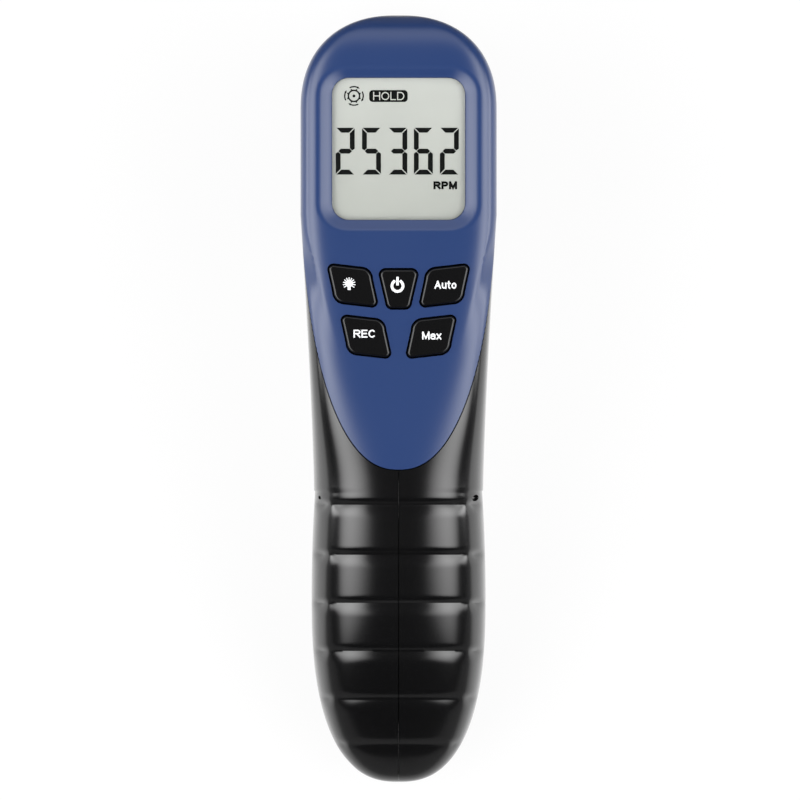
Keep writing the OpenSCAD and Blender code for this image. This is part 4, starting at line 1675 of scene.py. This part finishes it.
@dataclass
class Display:
    """The window pane, the display field behind it and what it shows."""

    face: FaceForm
    low_z: float = 73.0
    field_t: float = 0.25
    ink_t: float = 0.02
    pane_low: float = 73.32
    high_z: float = 74.4
    digits: str = "25362"
    digit_h: float = 12.64
    digit_w: float = 5.13
    stroke: float = 1.32
    bar_cut: float = 0.18
    bar_tip: float = 0.72
    digit_x: tuple[float, ...] = (-16.98, -9.88, -2.78, 4.12, 11.14)
    digit_top: float = 73.41
    rotor_at: Spot = (-12.05, 82.0)
    rotor_ring: Spot = (1.5, 0.42)
    rotor_dot: float = 0.4
    rotor_tooth: tuple[float, float, float] = (1.8, 0.3, 7.0)
    rotor_arc: Spot = (2.5, 0.36)
    rotor_span: Spot = (-24.0, 52.0)
    rotor_head: tuple[float, float, float] = (0.34, 2.0, -14.0)
    pill: tuple[Spot, float, float, float] = ((-2.74, 81.97), 10.4, 3.22, 1.0)
    unit: Lettering = Lettering("RPM", (12.6, 57.87), 6.4, 2.15, 0.6)
    hold: Lettering = Lettering("HOLD", (-2.66, 81.97), 8.4, 2.2, 0.27)
    hold_proud: float = 0.015
    ink_in: float = 0.05
    pane_edge: float = 0.15
    SEGMENTS = {"0": "abcdef", "1": "bc", "2": "abged", "3": "abgcd", "4": "fgbc", "5": "afgcd",
                "6": "afgedc", "7": "abc", "8": "abcdefg", "9": "abcdfg"}

    def segment(self, x: float, which: str) -> np.ndarray:
        """Outline of one bar of a digit whose left edge is at x.

        Args:
            x: Left edge of the digit.
            which: The bar, from a at the top round to f, and g in the middle.

        Returns:
            Rows of (x, y).
        """
        w, h, t = self.digit_w, self.digit_h, self.stroke
        half, cut, tip = h / 2, self.bar_cut, self.bar_tip
        top = [(cut, 0), (w - cut, 0), (w - cut - t, -t), (cut + t, -t)]
        side = [(0, -cut), (t, -t - cut), (t, -half + t / 2 + cut / 2), (t / 2, -half + cut),
                (0, -half + t / 2)]
        rows = {"a": top, "d": top, "b": side, "c": side, "e": side, "f": side}.get(which)
        if rows is None:
            rows = [(tip, -half), (tip + t / 2, -half + t / 2), (w - tip - t / 2, -half + t / 2),
                    (w - tip, -half), (w - tip - t / 2, -half - t / 2), (tip + t / 2, -half - t / 2)]
        if which in "bc":
            rows = [(w - px, py) for px, py in rows]
        if which in "cde":
            rows = [(px, -h - py) for px, py in rows]
        return np.array([(x + px, self.digit_top + py) for px, py in rows])

    def rotor(self) -> list[np.ndarray]:
        """Outlines of the turning mark: four arc arrows, a toothed ring and a dot.

        Returns:
            Outlines as rows of (x, y).
        """
        center = np.array(self.rotor_at)
        shapes = [arc_band(center, *self.rotor_ring, 0, 359.9), disc(center, self.rotor_dot, MARK_STEPS)]
        radius, width, half = self.rotor_tooth
        for turn in (45 * k + 22.5 for k in range(8)):
            shapes.append(arc_band(center, radius, width, turn - half, turn + half, 4))
        (radius, width), (start, span), (barb, foot, tip) = self.rotor_arc, self.rotor_span, self.rotor_head
        for end in (90 * k + start for k in range(4)):
            shapes.append(arc_band(center, radius, width, end, end + span, 12))
            ray = ray_at(end + foot)
            shapes.append(np.array([center + ray * (radius - barb), center + ray * (radius + barb),
                                    center + radius * ray_at(end + tip)]))
        return shapes

    def build(self) -> None:
        """Makes and dresses the pane, the field and the marks."""
        face = self.face
        middle = (0, face.y_display)
        outline = rounded(middle, face.window_w, face.window_l, face.window_r, 14)
        field_top = self.low_z + self.field_t
        plate = dress(prism("display_field", outline, self.low_z, field_top), Finish.DISPLAY)
        pane = prism("window_pane", outline, self.pane_low, self.high_z)
        dress(soften(pane, self.pane_edge, 2, 60), Finish.PANE)
        ink_low, ink_high = field_top - self.ink_in, field_top + self.ink_t
        shapes = [self.segment(x, bar_name) for x, digit in zip(self.digit_x, self.digits)
                  for bar_name in self.SEGMENTS[digit]]
        shapes += [*self.rotor(), rounded(*self.pill)]
        marks = [prism("mark", shape, ink_low, ink_high) for shape in shapes]
        marks.append(self.unit.build("unit", ink_low, ink_high))
        ink = dress(together("display_marks", marks), Finish.DISPLAY_INK)
        hold = self.hold.build("display_hold", ink_low, ink_high + self.hold_proud)
        dress(hold, Finish.DISPLAY_LIGHT)
        for piece, slot in ((plate, "display_glass"), (ink, "dark_plastic"), (hold, "display_glass")):
            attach(piece, ROOT)
        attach(pane, ROOT)
        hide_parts("display_window")
        LOG.info("display: field, pane and marks")


class Grown(Nodes):
    """A Geometry Nodes tree that is built here and taken once as a plain mesh."""

    def __init__(self, name: str) -> None:
        """Makes an empty tree that takes and gives geometry.

        Args:
            name: Name of the tree and of its result.
        """
        super().__init__(bpy.data.node_groups.new(name, "GeometryNodeTree"))
        self.name = name
        for side in ("INPUT", "OUTPUT"):
            self.tree.interface.new_socket("Geometry", in_out=side, socket_type="NodeSocketGeometry")
        self.given = self.tree.nodes.new("NodeGroupInput")
        self.taken = self.tree.nodes.new("NodeGroupOutput")
        self.values: dict[str, object] = {}

    def value(self, name: str, kind: str, value: object) -> Socket:
        """Adds a named input.

        Args:
            name: What the input is called.
            kind: Its socket type, without the leading NodeSocket.
            value: Its value on this piece.

        Returns:
            The socket inside the tree.
        """
        item = self.tree.interface.new_socket(name, in_out="INPUT", socket_type="NodeSocket" + kind)
        self.values[item.identifier] = value
        return self.given.outputs[name]

    def grow(self, geometry: Socket, finish: Finish, points: Sequence[Point]) -> Obj:
        """Realizes the geometry with a finish.

        Args:
            geometry: What the tree gives.
            finish: Finish of the result.
            points: Points that the tree starts from, in millimetres.

        Returns:
            A plain mesh object.
        """
        real = self.node("GeometryNodeRealizeInstances", {}, {"Geometry": geometry})
        dressed = self.node("GeometryNodeSetMaterial", {}, {"Geometry": real.outputs[0],
                                                           "Material": finish.material()})
        self.tree.links.new(dressed.outputs[0], self.taken.inputs[0])
        mesh = bpy.data.meshes.new(self.name)
        mesh.from_pydata([tuple(v * MM for v in point) for point in points], [], [])
        holder = linked(self.name, mesh)
        modifier = holder.modifiers.new("grow", "NODES")
        modifier.node_group = self.tree
        for identifier, value in self.values.items():
            modifier[identifier] = value
        settle(holder)
        bpy.data.node_groups.remove(self.tree)
        return dress(holder, finish, 40)


@dataclass(frozen=True)
class ScrewSize:
    """A pan-headed screw with a crossed slot."""

    diameter: float
    length: float

    @property
    def head_t(self) -> float:
        """Height of the head."""
        return 0.7 * self.diameter

    def build(self, name: str) -> Obj:
        """Makes one screw along +Z, with the face of its head at zero.

        Args:
            name: Object name.

        Returns:
            The screw.
        """
        d, head_r, head_t = self.diameter, 0.925 * self.diameter, self.head_t
        profile = [(0, 0), (0.5 * head_r, 0.02 * d), (0.8 * head_r, 0.1 * d), (0.95 * head_r, 0.24 * d),
                   (head_r, 0.4 * d), (head_r, head_t), (d / 2, head_t), (d / 2, self.length - 0.5),
                   (d / 4, self.length), (0, self.length)]
        screw = turned(name, profile, 0, 32)
        for reach_x, reach_y in ((0.6 * d, 0.12 * d), (0.12 * d, 0.6 * d)):
            carve(screw, block("slot", (-reach_x, -reach_y, -1), (reach_x, reach_y, 0.4 * d)), Cut.TAKE)
        return screw


@dataclass
class Fasteners:
    """Every screw: the shells', the board's and the door's."""

    casing: Casing
    board_z: float = 64.0
    seed: int = 7

    def row(self, node: str, size: ScrewSize, spots: Sequence[Point], sideways: bool) -> None:
        """Sets one size of screw at its places, each turned by chance about its own axis.

        Args:
            node: The CAD node that the screws stand for.
            size: The screw.
            spots: Middles of the heads' faces.
            sideways: True for screws along +X, else along +Z.
        """
        pattern = size.build("screw_pattern")
        if sideways:
            pattern.data.transform(Matrix.Rotation(math.radians(90), 4, "Y"))
        grown = Grown(node + "_turned")
        screw = grown.value("Screw", "Object", pattern)
        seed = grown.value("Seed", "Int", self.seed)
        shape = grown.node("GeometryNodeObjectInfo", {}, {"Object": screw})
        chance = grown.node("FunctionNodeRandomValue", {"data_type": "FLOAT"},
                            {2: 0.0, 3: math.radians(90), "Seed": seed})
        axis = grown.node("ShaderNodeCombineXYZ", {}, {"X" if sideways else "Z": chance.outputs[1]})
        turn = grown.node("FunctionNodeEulerToRotation", {}, {0: axis.outputs[0]})
        placed = grown.node("GeometryNodeInstanceOnPoints", {}, {
            "Points": grown.given.outputs["Geometry"], "Instance": shape.outputs["Geometry"],
            "Rotation": turn.outputs[0]})
        piece = grown.grow(placed.outputs[0], Finish.STEEL, spots)
        bpy.data.objects.remove(pattern)
        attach(piece, ROOT)
        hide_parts(node)
        LOG.info("%s: %d screws", node, len(spots))

    def build(self) -> None:
        """Makes the three rows."""
        casing = self.casing
        shell, board, door = ScrewSize(3.0, 18.1), ScrewSize(2.2, 7.64), ScrewSize(2.2, DOOR_SCREW_L)
        x, z = -casing.screw_x - shell.head_t, self.board_z - board.head_t
        self.row("shell_screws", shell, [(x, *spot) for spot in casing.screw_spots], True)
        self.row("board_screws", board, [(*spot, z) for spot in casing.post_spots], False)
        self.row("door_screw", door, [(0, DOOR_SCREW_Y, DOOR_SCREW_Z)], False)


@dataclass
class Nose:
    """The ring that the head rests on and the filter window in it."""

    y: float = 71.9
    ring_r: float = 21.0
    cover_r: float = 16.0
    gap: float = 0.15
    ledge: float = 1.6
    lip: float = 1.8
    height: float = 8.2
    lip_t: float = 2.0
    cover: Spot = (0.8, 3.0)
    steps: int = 128

    def build(self) -> None:
        """Makes and dresses the ring and the window."""
        r, hole = self.ring_r, self.cover_r + self.gap
        rim, ledge = r + self.lip, hole - self.ledge
        high, step = self.height, self.height - self.lip_t
        low, seat = self.cover
        profile = [(hole + 0.5, 0), (r - 0.9, 0), (r - 0.45, 0.12), (r - 0.12, 0.45), (r, 0.9), (r, step),
                   (rim, step), (rim, high), (ledge, high), (ledge, seat), (hole, seat), (hole, 0.5),
                   (hole + 0.15, 0.15)]
        ring = dress(turned("nose_ring", profile, self.y, self.steps), Finish.DARK)
        edge = self.cover_r
        glass = [(0, low), (edge - 0.3, low), (edge, low + 0.3), (edge, seat), (0, seat)]
        cover = dress(turned("filter_window", glass, self.y, self.steps), Finish.FILTER)
        for piece, node, slot in ((ring, "nose_bezel", "dark_plastic"),
                                  (cover, "front_window", "filter_glass")):
            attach(piece, ROOT)
            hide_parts(node)
            LOG.info("%s: turned", node)


@dataclass
class Trigger:
    """The measuring trigger: a lever hollowed for a finger, on a barrel."""

    y: float = 24.9
    z: float = 37.2
    width: float = 13.0
    length: float = 23.6
    depth: float = 10.0
    barrel_r: float = 3.2
    bore_r: float = 1.35
    lever_t: float = 1.5
    lip: Spot = (2.4, 2.2)
    finger_r: float = 30.0
    finger_in: float = 1.6
    finger_y: Spot = (-2.6, -20.4)
    brow: tuple[Spot, Spot] = ((2.4, -1.6), (1.6, -7.0))
    tip_z: float = 6.0
    edge: float = 0.8

    def outline(self) -> np.ndarray:
        """Side view of the lever as rows of (y, z) from its pin.

        Returns:
            The rows.
        """
        end_y = -math.sqrt(self.length ** 2 - self.tip_z ** 2)
        reach, drop = self.lip
        hollow_y, hollow_z = -self.length / 2, -self.depth - self.finger_r + self.finger_in
        rows = [(0, self.barrel_r), *self.brow]
        for y in np.linspace(*self.finger_y, 25):
            rows.append((y, hollow_z + math.sqrt(self.finger_r ** 2 - (y - hollow_y) ** 2)))
        rows += [(end_y, -self.tip_z), (-self.length, -drop), (-self.length - reach, -drop),
                 (-self.length - reach, self.lever_t), (-self.length / 2, self.lever_t)]
        return np.array(rows)

    def build(self) -> None:
        """Makes and dresses the trigger."""
        side = self.outline() + np.array([self.y, self.z])
        half = self.width / 2
        lever = stack("trigger_lever_smooth", [np.c_[np.full(len(side), x), side] for x in (-half, half)])
        soften(lever, self.edge, 4, 30)
        carve(lever, bar("barrel", -half, half, self.y, self.z, self.barrel_r), Cut.JOIN)
        carve(lever, bar("bore", -half - 1, half + 1, self.y, self.z, self.bore_r), Cut.TAKE)
        dress(lever, Finish.BLACK)
        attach(lever, "trigger_lever")
        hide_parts("trigger")
        LOG.info("trigger: lever")


INNER_FINISHES = {
    "lcd_glass": Finish.DISPLAY, "backlight_plate": Finish.DIFFUSER, "lcd_strips": Finish.STRIP,
    "main_board": Finish.BOARD, "keypad_mat": Finish.MAT, "trigger_pin": Finish.STEEL,
    "trigger_spring": Finish.STEEL, "trigger_board": Finish.BOARD, "trigger_switch": Finish.DARK,
    "optics_block": Finish.DARK, "laser_module": Finish.BRASS, "receiver_lens": Finish.LENS,
    "photodiode": Finish.DARK, "sensor_board": Finish.BOARD, "battery": Finish.WRAP,
    "battery_snap": Finish.DARK,
}


@dataclass(frozen=True)
class Lamp:
    """A soft box: its middle, its size across and along Y in metres, and its power in watts."""

    name: str
    place: Point
    size: Spot
    watts: float


@dataclass
class Studio:
    """Floor, lamps, world and the camera at the photograph's angle."""

    lens: float = 1500.0
    sensor: float = 36.0
    clip_end: float = 50.0
    frame_w: float = 216.0
    center: Point = (0.38, -0.1, 73.3)
    aim: Point = (0.0, 0.0, 0.05)
    floor_glow: float = 0.9
    floor_half: float = 4000.0
    floor_z: Spot = (-30.0, -0.2)
    sky: float = 0.10
    ceiling: float = 0.01
    end_shade: float = 0.85
    end_rise: Spot = (80.0, 0.7)
    lamp_peak: float = 36.0
    lamps: tuple[Lamp, ...] = (
        Lamp("soft_left", (-0.74, -0.16, 0.82), (1.05, 2.2), 13.4),
        Lamp("soft_right", (0.74, -0.16, 0.82), (1.05, 2.2), 12.8),
        Lamp("soft_head", (0.0, 0.8, 0.75), (1.6, 1.0), 2.4),
        Lamp("low_left", (-1.25, 0.0, 0.34), (0.6, 1.1), 4.6),
        Lamp("low_right", (1.25, 0.0, 0.34), (0.6, 1.1), 4.6),
    )

    def camera(self) -> None:
        """Looks down on the display from a long way off, so that the width of the view is frame_w there."""
        data = bpy.data.cameras.new("view")
        data.lens = self.lens
        data.sensor_width = self.sensor
        data.clip_end = self.clip_end
        camera = linked("view", data)
        distance = self.frame_w * self.lens / self.sensor
        camera.location = (Vector(self.center) + Vector((0, 0, distance))) * MM
        bpy.context.scene.camera = camera

    def light(self, lamp: Lamp) -> None:
        """Adds a soft box that faces the object and fades from its middle to its edges.

        Args:
            lamp: The soft box.
        """
        data = bpy.data.lights.new(lamp.name, "AREA")
        data.shape = "RECTANGLE"
        data.size, data.size_y = lamp.size
        data.energy = lamp.watts
        data.use_nodes = True
        lit = Nodes(data.node_tree)
        place = lit.node("ShaderNodeNewGeometry").outputs["Parametric"]
        spot = lit.node("ShaderNodeSeparateXYZ", {}, {0: place})
        across, along = (Value(lit, spot.outputs[axis]) for axis in "XY")
        fade = across * (1 - across) * along * (1 - along) * self.lamp_peak
        lit.feed(lit.tree.nodes["Emission"].inputs["Strength"], fade)
        back = (Vector(lamp.place) - Vector(self.aim)).normalized()
        up = (Vector((0, 1, 0)) - back * back.y).normalized()
        turn = Matrix((up.cross(back), up, back)).transposed().to_4x4()
        linked(lamp.name, data).matrix_world = Matrix.Translation(lamp.place) @ turn

    def floor(self) -> None:
        """A pale floor that keeps a soft shadow."""
        shader = Shader("floor_white")
        shader.set(Base_Color=(0.9, 0.9, 0.9), Roughness=0.9, Specular_IOR_Level=0.0)
        along = shader.axis("Y")
        rise, start = self.end_rise
        past_ends = (along * along * rise - start).clamped()
        seen = shader.rays("Is Camera Ray")
        mirrored = shader.rays("Is Glossy Ray", "Is Transmission Ray")
        strength = 1 - mirrored * past_ends * self.end_shade
        glow = shader.node("ShaderNodeEmission", {}, {"Color": (1.0, 1.0, 1.0), "Strength": strength})
        share = (seen * self.floor_glow + mirrored).clamped()
        mixed = shader.node("ShaderNodeMixShader", {}, {0: share, 1: shader.bsdf.outputs[0],
                                                        2: glow.outputs[0]})
        shader.tree.links.new(mixed.outputs[0], shader.output.inputs["Surface"])
        half, (low, high) = self.floor_half, self.floor_z
        floor = block("floor", (-half, -half, low), (half, half, high))
        floor.data.materials.append(shader.material)

    def world(self) -> None:
        """A soft even sky, white where it is looked at, with a dark ceiling for reflections."""
        world = bpy.data.worlds.new("sky")
        world.use_nodes = True
        sky = Nodes(world.node_tree)
        back = sky.tree.nodes["Background"]
        mirrored = sky.rays("Is Glossy Ray", "Is Transmission Ray")
        seen = sky.rays("Is Camera Ray")
        level = self.sky + mirrored * (self.ceiling - self.sky)
        sky.feed(back.inputs["Color"], (1.0, 1.0, 1.0))
        sky.feed(back.inputs["Strength"], seen + (1 - seen) * level)
        bpy.context.scene.world = world

    def build(self) -> None:
        """Sets up the whole studio."""
        bpy.context.scene.view_settings.view_transform = "Standard"
        self.camera()
        self.floor()
        self.world()
        for lamp in self.lamps:
            self.light(lamp)
        LOG.info("studio: floor, lamps and camera")


def main() -> None:
    """Builds every sub-assembly over the frame and gives the inner parts their finishes."""
    logging.basicConfig(level=logging.INFO, format="%(message)s")
    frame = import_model()
    Studio().build()
    form, face = BodyForm(), FaceForm()
    casing = Casing(form, face)
    casing.build()
    for node, piece in casing.pieces.items():
        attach(piece, ROOT)
        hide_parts(node)
    Keypad(form).build()
    Display(face).build()
    Nose().build()
    Trigger().build()
    Fasteners(casing).build()
    for node, finish in INNER_FINISHES.items():
        for holder in frame["nodes"][node].material_slots:
            holder.material = finish.material()


if __name__ == "__main__":
    main()
